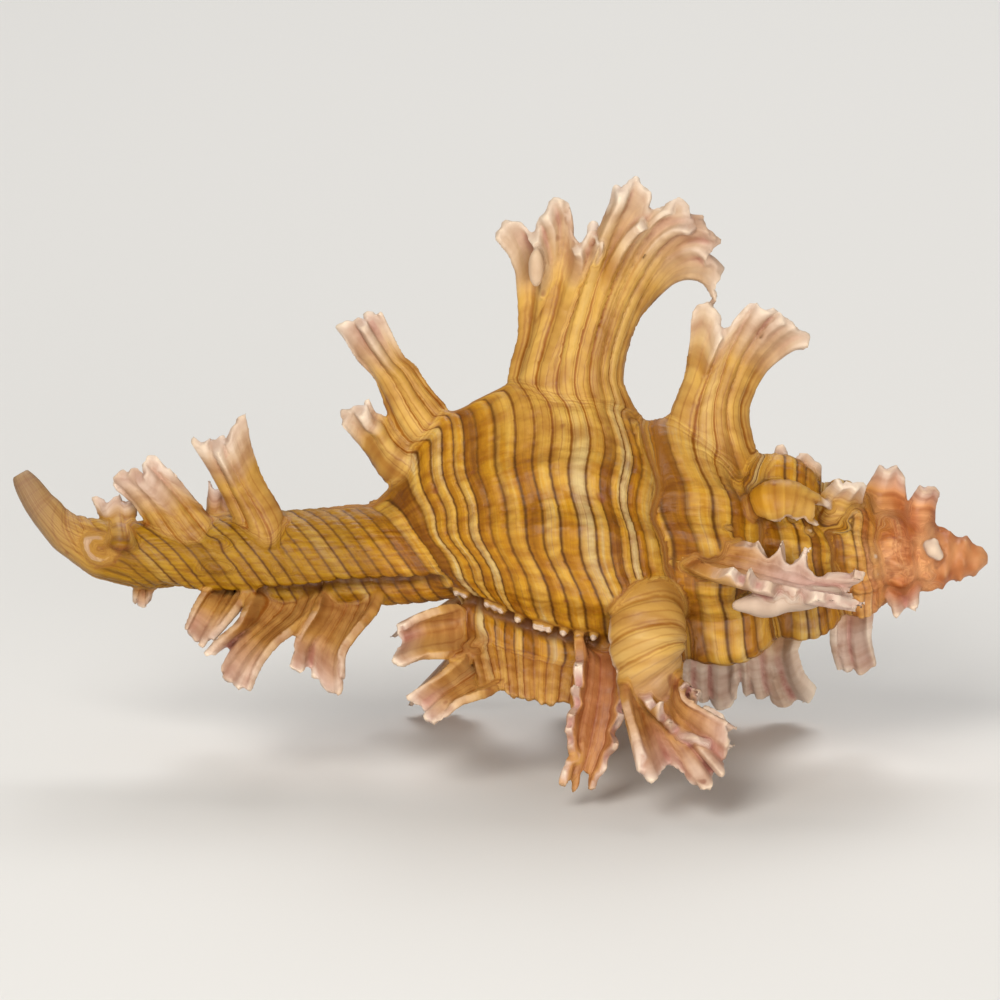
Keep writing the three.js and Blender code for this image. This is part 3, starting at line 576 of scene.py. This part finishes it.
frond(-152, [(1.6, 2), (-3.6, 8), (-7.6, 12.4), (-9.8, 15.4)],
      [(-11.4, 18), (-10.4, 17.8), (-8.6, 20.4), (-7.6, 18.4), (-5.8, 19.6)],
      [(4.6, 6), (-0.6, 11), (-4.4, 15)], square=False, pink=0.6)
frond(-143, [(0.6, 5.5), (-2.6, 11), (-5.4, 17.6), (-7.6, 22)],
      [(-9.6, 25.8), (-8.6, 25), (-7.6, 27.2), (-6.2, 25.2), (-4.6, 26.4), (-3.6, 24.2), (-2.4, 24.6)],
      [(9, 7.5), (3.2, 12), (-0.2, 18), (-1.6, 21.6)], bow=(2.6, 2.4, 1), square=False, pink=0.6)
frond(-148, [(7.6, 9.5), (8.6, 14), (8.2, 18.6), (6.8, 22)],
      [(6.4, 24.6), (7.6, 24), (9.4, 27.4), (11, 25), (13.2, 28.6), (15, 25.6), (16.8, 28), (17.8, 25),
       (19.4, 25.2)],
      [(16.6, 9.5), (16.2, 14), (16.6, 18.6), (18, 22.4)], bow=(3.2, 3, 1), ripple=1, square=False,
      pink=0.6)

# --- Denticles, tubercles and the lobe ------------------------------------------------------------
# White knobs of the same shell: a row of denticles in the groove at the foot of the second varix,
# tubercles on the whorls, the lobe under the trough and the ring left of an older canal end.

GROOVE_ANGLE = -50
DENTICLES = 12
groove_row = np.abs(turns[:, 0] - (GROOVE_ANGLE - LIP_ANGLE) / 360).argmin()


def groove_foot(x):
    """The coil's radius at x along the groove: read off the row of the coil's grid at the groove's angle."""
    row = (groove_row, slice(len(outer) - 1, None, -1))
    return np.interp(x, coil_x[row], coil_r[row])


def bead(x, r, degrees, size, tall_by=1.0, pale=1.0, forward=0.0):
    """A small rounded knob: a sphere of radius size at the given place, stretched by tall_by outwards from
    the axis."""
    a = np.linspace(0, np.pi, 8)[:, None]
    b = np.linspace(0, 2 * np.pi, 12, endpoint=False)[None]
    dx, across = size * np.sin(a) * np.cos(b), size * np.sin(a) * np.sin(b)
    up = size * tall_by * np.cos(a) + 0 * b
    points = place(x + dx, r + up, degrees, forward + across)
    lay(points, grid_faces(8, 12, closed=True)[:, ::-1], (0.5, -0.4, 0), (pale, 0, 0.1))


for x in np.linspace(-4.4, 9, DENTICLES):
    x_here = x + 0.3 * rng.normal()
    bead(x_here, groove_foot(x_here) + 0.1, GROOVE_ANGLE, rng.uniform(0.32, 0.45), 1.3, 1.3, 0.2)
# The long knob on the great frond, and the white patch of four on the spire.
bead(3.7, 29.4, 80, 0.8, 2.5, 0.9, -1.3)
PATCH = ((0, 0, 12, 0.85), (0.5, -0.2, 4, 0.6), (-0.5, -0.1, 20, 0.6), (0.1, 0.1, 24, 0.5))
for dx, dr, degrees, size in PATCH:
    bead(44.4 + dx, 3.7 + dr, degrees, size, 0.9, 1.0)
# Small white bumps beside the sutures, by turn and turn angle.
BUMPS = ((-1, (88, 70, 52, 38, 12, -6, -24)), (-2, (80, 56, 40, 21, 2, -18)), (-3, (66, 34, 8, -20)))
for turn_at, angles in BUMPS:
    for degrees in angles:
        at_turn = turn_at + (degrees - LIP_ANGLE) / 360
        x = APEX_X - tall(at_turn) * rng.uniform(1.04, 1.2)
        r = np.interp((APEX_X - x) / tall(at_turn), PROFILE[:, 0], PROFILE[:, 1])
        r = SHOULDER_RADIUS * WIDEN_PER_TURN**at_turn * r
        bead(x, r, degrees + 6 * rng.normal(), rng.uniform(0.3, 0.5), 0.9, 0.9)
# The thick white lobe that swells from the trough's lower wall: a tube whose radius is a half ellipse
# along x, with irregular waves.
lobe_x = np.linspace(23.6, 34.6, 60)[:, None]
lobe_angle = np.linspace(0, 2 * np.pi, 28, endpoint=False)[None]
lobe_r = 1.5 * np.sqrt(np.clip(1 - ((lobe_x - 29.1) / 5.6) ** 2, 0, 1))
lobe_r = lobe_r * (1 + 0.2 * waver(1.6 * lobe_x, 1.2 * np.cos(lobe_angle), 5))
lobe_up = np.interp(lobe_x, [23.6, 28, 34.6], [-5.8, -5.4, -4.5]) + 0.9 * lobe_r * np.sin(lobe_angle)
lobe_out = np.interp(lobe_x, [23.6, 28, 34.6], [10.6, 11.8, 11.4]) + lobe_r * np.cos(lobe_angle)
lobe = np.stack([np.broadcast_to(lobe_x, lobe_up.shape), lobe_up, lobe_out], axis=-1)
points, faces = tube(from_front(lobe))
lay(points, faces, (0.5, -1.4, 0), (1.2, 0, 0.1))
# The worn ring where an older canal end broke off.
for ring_angle in np.linspace(0, 360, 18, endpoint=False):
    a = math.radians(ring_angle)
    bead(-41.1 + 1.3 * math.cos(a), 2.5, 6 + 24 * math.sin(a), 0.5, 1.0, 0.8)

# --- The mouth ------------------------------------------------------------------------------------
# The hollow of the last whorl: a smooth porcelain-like horn that opens at the lip and narrows as it
# winds inwards, and the narrow slot that runs from it along the back of the canal.

MOUTH_REACH = 46.4  # from the apex to the mouth's middle
MOUTH_RADIUS = 8.5  # from the axis to its middle
MOUTH_HALF = (8.8, 4.8)  # half its length along the axis and half its width
MOUTH_TAPER = 2.6  # how much narrower it gets in a turn
CANAL_SLOT = 1.2


def new_mesh(name, points, faces, attributes=()):
    """An object from arrays of points in millimetres in the shared frame, quads and named vectors for each
    point."""
    mesh = bpy.data.meshes.new(name)
    mesh.from_pydata(np.round(points * MM, 8), [], faces.tolist())
    for key, values in attributes:
        layer = mesh.attributes.new(key, "FLOAT_VECTOR", "POINT")
        layer.data.foreach_set("vector", values.astype(np.float32).ravel())
    piece = bpy.data.objects.new(name, mesh)
    bpy.context.scene.collection.objects.link(piece)
    return piece


def outward(points, faces):
    """The faces, all turned round if the closed surface that they make has a negative volume."""
    p = points.reshape(-1, 3)[faces]
    volume = (p[:, 0] * (np.cross(p[:, 1], p[:, 2]) + np.cross(p[:, 2], p[:, 3]))).sum()
    return faces if volume > 0 else faces[:, ::-1]


horn_turn = np.linspace(0.035, -0.36, 60)[:, None]
narrow = np.clip(1 + MOUTH_TAPER * horn_turn, 0.24, 1.02)
oval = np.linspace(0, 2 * np.pi, 48, endpoint=False)[None]
horn_x = APEX_X - MOUTH_REACH * RISE_PER_TURN**horn_turn + MOUTH_HALF[0] * narrow * np.cos(oval)
horn_r = MOUTH_RADIUS * WIDEN_PER_TURN**horn_turn + MOUTH_HALF[1] * narrow * np.sin(oval)
horn_points, horn_faces = tube(place(horn_x, horn_r, LIP_ANGLE + 2 + 360 * horn_turn))
horn = new_mesh("mouth_hollow", horn_points.reshape(-1, 3), outward(horn_points, horn_faces))

slot_x = np.linspace(-46, -2, 60)[:, None]
slot_r = np.interp(slot_x, CANAL[:, 0], CANAL[:, 1])
slot_side = np.array([-1, 1, 1, -1])[None] * CANAL_SLOT / 2
slot_top = np.array([0, 0, 1, 1])[None]
slot_height = np.where(slot_top > 0, slot_r + 4, 0.35 * slot_r)
slot_points, slot_faces = tube(place(slot_x, slot_height, SLOT_ANGLE, slot_side))
slot = new_mesh("canal_hollow", slot_points.reshape(-1, 3), outward(slot_points, slot_faces))
for cutter in (horn, slot):
    cutter.modifiers.new("close", "WELD").merge_threshold = 1e-6

# --- One skin -------------------------------------------------------------------------------------
# The shell is one growth, so coil, canal and fronds are melted into one closed skin. It is then
# hollowed at the mouth and carries its fine relief: ribs between the spiral lines and growth steps.

VOXEL = 0.2  # millimetres


def apply_modifiers(piece):
    """Makes the piece's modifiers part of its mesh."""
    evaluated = piece.evaluated_get(bpy.context.evaluated_depsgraph_get())
    mesh = bpy.data.meshes.new_from_object(evaluated, depsgraph=bpy.context.evaluated_depsgraph_get())
    piece.modifiers.clear()
    old = piece.data
    piece.data = mesh
    bpy.data.meshes.remove(old)


shell = new_mesh("murex", np.concatenate(skin["points"]), np.concatenate(skin["faces"]))
lay(horn_points, horn_faces, inner_growth, inner_look)
lay(slot_points, slot_faces, inner_growth, inner_look)
source = new_mesh(
    "shell_layers", np.concatenate(skin["points"]), np.concatenate(skin["faces"]),
    [(key, np.concatenate(skin[key])) for key in ("growth", "look")],
)
melt = shell.modifiers.new("melt", "REMESH")
melt.mode = "VOXEL"
melt.voxel_size = VOXEL * MM
for name, cutter in (("mouth", horn), ("slot", slot)):
    cut = shell.modifiers.new(name, "BOOLEAN")
    cut.operation = "DIFFERENCE"
    cut.solver = "MANIFOLD"
    cut.object = cutter
even = shell.modifiers.new("even", "SMOOTH")
even.factor = 0.5
even.iterations = 1
apply_modifiers(shell)


def islands(edges, count):
    """The lowest point index of the island that each point belongs to: neighbours share the lower of their
    labels, and each label is replaced by its own label's, until nothing changes."""
    label = np.arange(count)
    while True:
        low = np.minimum(label[edges[:, 0]], label[edges[:, 1]])
        new = label.copy()
        np.minimum.at(new, label[edges[:, 0]], low)
        np.minimum.at(new, label[edges[:, 1]], low)
        new = new[new]
        if (new == label).all():
            return label
        label = new


def edge_array(mesh):
    """The mesh's edges as pairs of point indices."""
    pairs = np.zeros(len(mesh.edges) * 2, np.int32)
    mesh.edges.foreach_get("vertices", pairs)
    return pairs.reshape(-1, 2)


# Chips that the cutting leaves loose, and bubbles shut inside the shell, are taken away.
label = islands(edge_array(shell.data), len(shell.data.vertices))
island, sizes = np.unique(label, return_counts=True)
loose = np.flatnonzero(label != island[sizes.argmax()])
work = bmesh.new()
work.from_mesh(shell.data)
work.verts.ensure_lookup_table()
bmesh.ops.delete(work, geom=[work.verts[k] for k in loose], context="VERTS")
work.to_mesh(shell.data)
work.free()


def sampler(names, layers):
    """A node tree that gives each point the named vectors of the nearest place on the surface of layers,
    averaged twice with its neighbours'."""
    tree = bpy.data.node_groups.new("carry_growth", "GeometryNodeTree")
    tree.interface.new_socket("Geometry", in_out="INPUT", socket_type="NodeSocketGeometry")
    tree.interface.new_socket("Geometry", in_out="OUTPUT", socket_type="NodeSocketGeometry")
    nodes, links = tree.nodes, tree.links
    start, end = nodes.new("NodeGroupInput"), nodes.new("NodeGroupOutput")
    info = nodes.new("GeometryNodeObjectInfo")
    info.inputs["Object"].default_value = layers
    last = start.outputs[0]
    for name in names:
        read = nodes.new("GeometryNodeInputNamedAttribute")
        read.data_type = "FLOAT_VECTOR"
        read.inputs["Name"].default_value = name
        nearest = nodes.new("GeometryNodeSampleNearestSurface")
        nearest.data_type = "FLOAT_VECTOR"
        links.new(info.outputs["Geometry"], nearest.inputs["Mesh"])
        links.new(read.outputs["Attribute"], nearest.inputs["Value"])
        blur = nodes.new("GeometryNodeBlurAttribute")
        blur.data_type = "FLOAT_VECTOR"
        blur.inputs["Iterations"].default_value = 2
        values = blur.inputs[0] if blur.inputs[0].enabled else blur.inputs["Value"]
        links.new(nearest.outputs["Value"], values)
        store = nodes.new("GeometryNodeStoreNamedAttribute")
        store.data_type = "FLOAT_VECTOR"
        store.domain = "POINT"
        store.inputs["Name"].default_value = name
        links.new(last, store.inputs["Geometry"])
        links.new(blur.outputs[0], store.inputs["Value"])
        last = store.outputs["Geometry"]
    links.new(last, end.inputs[0])
    return tree


carry = shell.modifiers.new("carry", "NODES")
carry.node_group = sampler(("growth", "look"), source)
apply_modifiers(shell)


def read_array(collection, key, width):
    """A mesh collection's values as an array of rows."""
    values = np.zeros(len(collection) * width, np.float32)
    collection.foreach_get(key, values)
    return values.reshape(-1, width) if width > 1 else values


def average_neighbours(values, edges, count):
    """Each point's mean over the points that share an edge with it, from sums over all edges."""
    columns = []
    for k in range(values.shape[1]):
        total = np.bincount(edges[:, 0], values[edges[:, 1], k], len(values))
        total += np.bincount(edges[:, 1], values[edges[:, 0], k], len(values))
        columns.append(total / count)
    return np.stack(columns, axis=1)


mesh = shell.data
co = read_array(mesh.vertices, "co", 3).astype(float) / MM
edges = edge_array(mesh)
count = np.maximum(np.bincount(edges.ravel(), minlength=len(co)), 1)
growth = read_array(mesh.attributes["growth"].data, "vector", 3).astype(float)
look = read_array(mesh.attributes["look"].data, "vector", 3).astype(float)

# The joint between crest and frond is a smooth sweep: it is averaged away where a root meets the whorl.
WIDE_PASSES = int(6 / VOXEL)
near_root = np.clip(1.6 * growth[:, 2:], 0, 1) * (look[:, :1] < 0.5)
for _ in range(WIDE_PASSES):
    for values in (co, growth, look):
        values += near_root * 0.6 * (average_neighbours(values, edges, count) - values)

# The groove along the denticles, and the one under the ledge along the canal: each point is sunk by
# a bell of its distance from the nearest place on the two lines. away is that distance, squared. The
# grooves' darkness is painted shade, laid on below through the hollow values.
GROOVE_DEPTH = 0.9
GROOVE_WIDTH = 0.9
SHADE_WIDTH = 0.8
groove_x = np.linspace(-4.6, 9.4, 60)
ledge_x = np.linspace(-34, -5, 90)
ledge_r = 1.05 * np.interp(ledge_x, CANAL[:, 0], CANAL[:, 1])
ledge_line = place(ledge_x, ledge_r, np.interp(ledge_x, [-31, -24, -16], [-64, -44, -34]))
away = np.full(len(co), 1e9)
for at in np.vstack([place(groove_x, groove_foot(groove_x), GROOVE_ANGLE, -0.5), ledge_line]):
    away = np.minimum(away, ((co - at) ** 2).sum(axis=1))
mesh.vertices.foreach_set("co", (co * MM).astype(np.float32).ravel())
mesh.update()
normal = read_array(mesh.vertices, "normal", 3).astype(float)
sunk = np.exp(-away / GROOVE_WIDTH**2) * np.clip(1 - 2 * look[:, 0], 0, 1)
co -= GROOVE_DEPTH * normal * sunk[:, None]

# Hollows and edges: how far a point lies under or over the mean of its surroundings, along the normal. The
# colour paints shade where it is high, and near the two grooves it is raised towards 0.6 to paint shade along
# them.
mesh.vertices.foreach_set("co", (co * MM).astype(np.float32).ravel())
mesh.update()
normal = read_array(mesh.vertices, "normal", 3).astype(float)
mean = co
for _ in range(WIDE_PASSES):
    mean = average_neighbours(mean, edges, count)
hollow = ((mean - co) * normal).sum(axis=1)
# painted shade: near the grooves the hollow value is pushed up to 0.6, which the colour turns dark brown
shaded = np.exp(-away / SHADE_WIDTH**2) * np.clip(1.4 - 2 * look[:, 0], 0, 1)
hollow = hollow + shaded * (0.6 - hollow)
hollow_layer = mesh.attributes.new("hollow", "FLOAT", "POINT")
hollow_layer.data.foreach_set("value", hollow.astype(np.float32))
mesh.attributes["growth"].data.foreach_set("vector", growth.astype(np.float32).ravel())
mesh.attributes["look"].data.foreach_set("vector", look.astype(np.float32).ravel())

phase, turn, tip = growth[:, 0], growth[:, 1], look[:, 0]

# Where one layer meets another the lines do not run on: the seam is plain and a little darker.
jump = np.abs(phase[edges[:, 0]] - phase[edges[:, 1]])
seam = (np.bincount(edges[:, 0], jump, len(co)) + np.bincount(edges[:, 1], jump, len(co))) / count
seam = np.clip((seam / VOXEL * tall(turn) / SUTURE_REACH - 0.85) / 0.7, 0, 1)[:, None]
for _ in range(int(0.8 / VOXEL)):
    seam = np.maximum(seam, 0.9 * average_neighbours(seam, edges, count))
seam = seam[:, 0]
seam_layer = mesh.attributes.new("seam", "FLOAT", "POINT")
seam_layer.data.foreach_set("value", seam.astype(np.float32))

# The fine relief: a narrow groove on each spiral line, a low swell between lines, and saw-tooth growth
# steps. It fades at seams, on the worn spire and at the canal's end.
STEPS_PER_TURN = 70
groove = np.exp(-(((phase + 0.5) % 1 - 0.5) / 0.16) ** 2)
swell = np.cos(2 * np.pi * phase)
depth = 0.08 + 0.12 * np.clip(2 * tip, 0, 1)
steps = ((turn * STEPS_PER_TURN + 0.6 * np.sin(phase * 0.7)) % 1) * 0.1
lift = (-depth * groove - 0.035 * swell + steps * (1 - tip)) * (1 - seam)
lift = lift * np.clip((43 - co[:, 0]) / 6, 0.2, 1) * np.clip((co[:, 0] + 47) / 5, 0.1, 1)
co += normal * lift[:, None]
mesh.vertices.foreach_set("co", (co * MM).astype(np.float32).ravel())
mesh.update()

MOST_TRIANGLES = 195000
triangles = sum(len(p.vertices) - 2 for p in mesh.polygons)
if triangles > MOST_TRIANGLES:
    thin = shell.modifiers.new("thin", "DECIMATE")
    thin.ratio = MOST_TRIANGLES / triangles
    apply_modifiers(shell)
shell.data.shade_smooth()
for helper in (source, horn, slot):
    bpy.data.objects.remove(helper)
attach(shell, "root")
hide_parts("murex_shell")

# --- Colour and finish ----------------------------------------------------------------------------
# Ochre to golden shell with dark brown spiral lines between bands of changing depth, olive on the
# canal, terracotta on the worn spire, pinkish white frond tips and salmon channels; a low gloss.

paint = bpy.data.materials.new("murex_shell")
paint.use_nodes = True
tree = paint.node_tree
shader = tree.nodes["Principled BSDF"]


def node(kind, inputs=(), **settings):
    """A node with its settings, whose inputs are values or other nodes' outputs."""
    made = tree.nodes.new(kind)
    for key, value in settings.items():
        setattr(made, key, value)
    for key, value in dict(inputs).items():
        if isinstance(value, bpy.types.NodeSocket):
            tree.links.new(value, made.inputs[key])
        else:
            made.inputs[key].default_value = value
    return made


def srgb(r, g, b):
    """A colour given in screen values 0 to 255, as linear light."""
    c = np.array([r, g, b]) / 255
    linear = np.where(c <= 0.04045, c / 12.92, ((c + 0.055) / 1.055) ** 2.4)
    return (*linear.tolist(), 1.0)


def calc(kind, a, b=0.0):
    """One step of arithmetic on two values, by a Math node."""
    return node("ShaderNodeMath", {0: a, 1: b, 2: 0.0}, operation=kind).outputs[0]


def plus(a, b):
    """a + b."""
    return calc("ADD", a, b)


def times(a, b):
    """a x b."""
    return calc("MULTIPLY", a, b)


def ramp(value, low, high, start=0.0, end=1.0):
    """value taken from low..high to start..end in proportion, and held at the ends."""
    pick = {"Value": value, "From Min": low, "From Max": high, "To Min": start, "To Max": end}
    return node("ShaderNodeMapRange", pick).outputs[0]


def mix(mask, a, b, kind="MIX"):
    """Colour a where mask is 0 and b (or a x b, for MULTIPLY) where it is 1."""
    return node("ShaderNodeMix", {0: mask, 6: a, 7: b}, data_type="RGBA", blend_type=kind).outputs[2]


def attribute(name):
    """A node that reads the values laid down on the shell's points under that name."""
    return node("ShaderNodeAttribute", attribute_name=name)


def noise(vector, scale, detail=3.0, rough=0.5):
    """Soft random values between 0 and 1 over a vector."""
    inputs = {"Vector": vector, "Scale": scale, "Detail": detail, "Roughness": rough}
    return node("ShaderNodeTexNoise", inputs).outputs[0]


def pair(a, b):
    """A vector of two values."""
    return node("ShaderNodeCombineXYZ", {0: a, 1: b}).outputs[0]


def per_cell(value):
    """A random value between 0 and 1 for each whole number that value passes."""
    cell = {"W": calc("FLOOR", value)}
    return node("ShaderNodeTexWhiteNoise", cell, noise_dimensions="1D").outputs["Value"]


growth_read = node("ShaderNodeSeparateXYZ", {0: attribute("growth").outputs["Vector"]})
look_read = node("ShaderNodeSeparateXYZ", {0: attribute("look").outputs["Vector"]})
phase, turn = growth_read.outputs["X"], growth_read.outputs["Y"]
tip, inner, pinkness = look_read.outputs["X"], look_read.outputs["Y"], look_read.outputs["Z"]
hollow = attribute("hollow").outputs["Fac"]
seam = attribute("seam").outputs["Fac"]
place_read = node("ShaderNodeTexCoord").outputs["Object"]
along_axis = node("ShaderNodeSeparateXYZ", {0: place_read}).outputs["X"]
streaks = pair(times(phase, 0.35), times(turn, 40.0))  # across the growth
runs = pair(times(phase, 3.0), times(turn, 6.0))  # along it
cloud = noise(place_read, 90.0, 4.0)
grain = noise(place_read, 900.0, 3.0, 0.6)
growth_marks = noise(streaks, 1.6, 3.0)
fibres = noise(runs, 1.4, 3.0)

# Bands between the lines: each has its own depth of colour, and darkens towards its line.
own = per_cell(phase)
patches = pair(phase, times(turn, 6.0))
band = plus(times(own, 0.42), times(noise(patches, 0.5, 2.0), 0.75))
band = plus(band, times(calc("SUBTRACT", fibres, 0.5), 0.35))
band_ramp = node("ShaderNodeValToRGB", {0: band})
BAND_COLOURS = [
    (0.34, (130, 80, 4)), (0.48, (164, 108, 8)), (0.6, (186, 132, 22)), (0.72, (196, 152, 62)),
    (0.84, (194, 168, 112)),
]
stops = band_ramp.color_ramp.elements
for at, _ in BAND_COLOURS[1:-1]:
    stops.new(at)
for stop, (at, colour) in zip(stops, BAND_COLOURS):
    stop.position = at
    stop.color = srgb(*colour)
base = band_ramp.outputs[0]
part = calc("FRACT", phase)
base = mix(ramp(part, 0.5, 1.0, 0.0, 0.5), base, srgb(132, 78, 12))
olive = ramp(along_axis, -0.010, -0.016)
base = mix(times(olive, 0.7), base, srgb(152, 112, 2))
trunk = ramp(tip, 0.06, 0.3)
base = mix(times(trunk, 0.72), base, srgb(200, 160, 78))
base = mix(times(times(trunk, pinkness), 0.55), base, srgb(192, 134, 94))
base = mix(times(times(trunk, olive), 0.45), base, srgb(160, 114, 46))
terracotta = ramp(plus(along_axis, times(cloud, 0.012)), 0.041, 0.047)
mottled = ramp(noise(place_read, 260.0, 2.0), 0.35, 0.65)
spire_colour = mix(mottled, srgb(176, 92, 50), srgb(226, 166, 118))
base = mix(times(terracotta, 0.8), base, spire_colour)

# The dark spiral lines, with a finer set between them; both fade out along the fronds.
waver_line = plus(phase, times(calc("SUBTRACT", cloud, 0.5), 0.35))
from_line = calc("ABSOLUTE", calc("SUBTRACT", calc("FRACT", plus(waver_line, 0.5)), 0.5))
strength = per_cell(plus(waver_line, 0.5))
line = ramp(from_line, 0.03, ramp(trunk, 0.0, 1.0, 0.15, 0.1), 1.0, 0.0)
fine = calc("ABSOLUTE", calc("SUBTRACT", calc("FRACT", times(waver_line, 3.0)), 0.5))
fine_shown = calc("MAXIMUM", ramp(fibres, 0.45, 0.65), trunk)
fine_line = times(ramp(fine, 0.0, 0.16, 0.55, 0.0), fine_shown)
fade = times(ramp(tip, 0.5, 1.0, 1.0, 0.0), ramp(terracotta, 0.0, 1.0, 1.0, 0.1))
fade = times(fade, ramp(seam, 0.1, 0.6, 1.0, 0.0))
on_seam = times(ramp(seam, 0.1, 0.8, 0.0, 0.8), ramp(terracotta, 0.0, 0.6, 1.0, 0.0))
base = mix(on_seam, base, mix(trunk, srgb(150, 98, 34), srgb(186, 138, 58)))
shown = times(times(line, ramp(strength, 0.0, 0.6, 0.55, 1.0)), fade)
base = mix(times(fine_line, fade), base, srgb(140, 82, 26))
base = mix(shown, base, mix(trunk, srgb(98, 60, 0), srgb(148, 90, 14)))

# Frond tips are pinkish white, the channels inside salmon to brown. On the tips the hollows between fingers
# turn mauve, partly their own pink and partly painted shade, and the crowns near white, a painted highlight.
tipped = ramp(plus(tip, times(calc("SUBTRACT", cloud, 0.5), 0.3)), 0.68, 1.02)
pinker = ramp(plus(pinkness, calc("SUBTRACT", cloud, 0.5)), 0.1, 1.0)
pale = mix(pinker, srgb(198, 178, 160), srgb(190, 144, 134))
base = mix(tipped, base, pale)
inside = times(inner, ramp(tip, 0.05, 0.85, 0.85, 0.15))
base = mix(inside, base, mix(cloud, srgb(122, 58, 24), srgb(172, 100, 70)))
# partly painted shade: mauve in the hollows of the tips; next, a painted highlight, near white on the
# fingers' crowns
base = mix(times(tipped, ramp(hollow, 0.02, 0.3, 0.0, 0.75)), base, srgb(176, 98, 92))
base = mix(times(tipped, ramp(hollow, -0.05, -0.35, 0.0, 0.75)), base, srgb(232, 216, 196))
end = ramp(along_axis, -0.043, -0.0485)
base = mix(times(end, 0.7), base, mix(growth_marks, srgb(172, 148, 116), srgb(104, 78, 70)))

# Growth marks, painted shade in the hollows and along the grooves, worn pale edges and a few brown specks.
base = mix(ramp(growth_marks, 0.35, 0.62, 0.5, 0.0), base, srgb(170, 112, 46), "MULTIPLY")
# painted shade: dark brown in the hollows and along the grooves, where shade falls
base = mix(ramp(hollow, 0.12, 0.6, 0.0, 0.85), base, srgb(92, 52, 24))
base = mix(ramp(hollow, -0.25, -0.7, 0.0, 0.5), base, srgb(232, 208, 166))
specks = ramp(noise(place_read, 420.0, 1.0), 0.74, 0.8)
base = mix(times(specks, 0.6), base, srgb(120, 62, 34))
tree.links.new(base, shader.inputs["Base Color"])
tree.links.new(ramp(plus(grain, growth_marks), 0.6, 1.4, 0.34, 0.58), shader.inputs["Roughness"])
shader.inputs["Specular IOR Level"].default_value = 0.26
height = plus(times(growth_marks, 0.6), times(grain, 0.25))
height = plus(height, times(fibres, 0.25))
bump = node("ShaderNodeBump", {"Strength": 0.55, "Distance": 0.0004, "Height": height})
tree.links.new(bump.outputs[0], shader.inputs["Normal"])
shell.data.materials.clear()
shell.data.materials.append(paint)

# --- Floor, light and camera ----------------------------------------------------------------------
# A plain pale floor, three broad soft lamps and a long lens 15 degrees above the horizon.

FLOOR_HALF = 3.0
floor_mesh = bpy.data.meshes.new("floor")
corners = [(x * FLOOR_HALF, y * FLOOR_HALF, 0) for x, y in ((-1, -1), (1, -1), (1, 1), (-1, 1))]
floor_mesh.from_pydata(corners, [], [(0, 1, 2, 3)])
floor = bpy.data.objects.new("floor", floor_mesh)
bpy.context.scene.collection.objects.link(floor)
floor_paint = bpy.data.materials.new("floor")
floor_paint.use_nodes = True
floor_shader = floor_paint.node_tree.nodes["Principled BSDF"]
floor_shader.inputs["Base Color"].default_value = (0.72, 0.71, 0.69, 1)
floor_shader.inputs["Roughness"].default_value = 0.8
floor_mesh.materials.append(floor_paint)

bpy.context.scene.view_settings.view_transform = "Standard"
world = bpy.data.worlds.new("studio")
world.use_nodes = True
sky = world.node_tree.nodes["Background"]
sky.inputs["Color"].default_value = (0.9, 0.89, 0.87, 1)
sky.inputs["Strength"].default_value = 0.3
bpy.context.scene.world = world


LAMPS_AIM = Vector((0, 0, 0.025))


def lamp(name, at, size, power, colour=(1, 1, 1)):
    """A square soft lamp that faces the middle of the shell."""
    light = bpy.data.lights.new(name, "AREA")
    light.shape = "SQUARE"
    light.size = size
    light.energy = power
    light.color = colour
    made = bpy.data.objects.new(name, light)
    made.location = at
    made.rotation_euler = (LAMPS_AIM - Vector(at)).to_track_quat("-Z", "Y").to_euler()
    bpy.context.scene.collection.objects.link(made)


lamp("key", (-0.32, -0.62, 0.62), 0.45, 5.9, (1, 0.97, 0.92))
lamp("fill", (0.26, -0.78, 0.06), 0.5, 6.6, (1, 0.97, 0.93))
lamp("top", (0.1, 0.55, 0.7), 0.5, 3.8)

ELEVATION = math.radians(15)
WIDTH_SEEN = 0.1029  # metres across the view at the shell's axis
AIM_ABOVE_AXIS = 0.00494
camera = bpy.data.cameras.new("camera")
camera.lens = 300
camera.sensor_width = 36
distance = camera.lens / camera.sensor_width * WIDTH_SEEN
up = Vector((0, math.sin(ELEVATION), math.cos(ELEVATION)))
aim = Vector((AXIS_AT * MM).tolist()) + up * AIM_ABOVE_AXIS
viewer = bpy.data.objects.new("camera", camera)
viewer.location = aim + Vector((0, -math.cos(ELEVATION), math.sin(ELEVATION))) * distance
viewer.rotation_euler = (math.radians(90) - ELEVATION, 0, 0)
camera.clip_start = 0.05
bpy.context.scene.collection.objects.link(viewer)
bpy.context.scene.camera = viewer
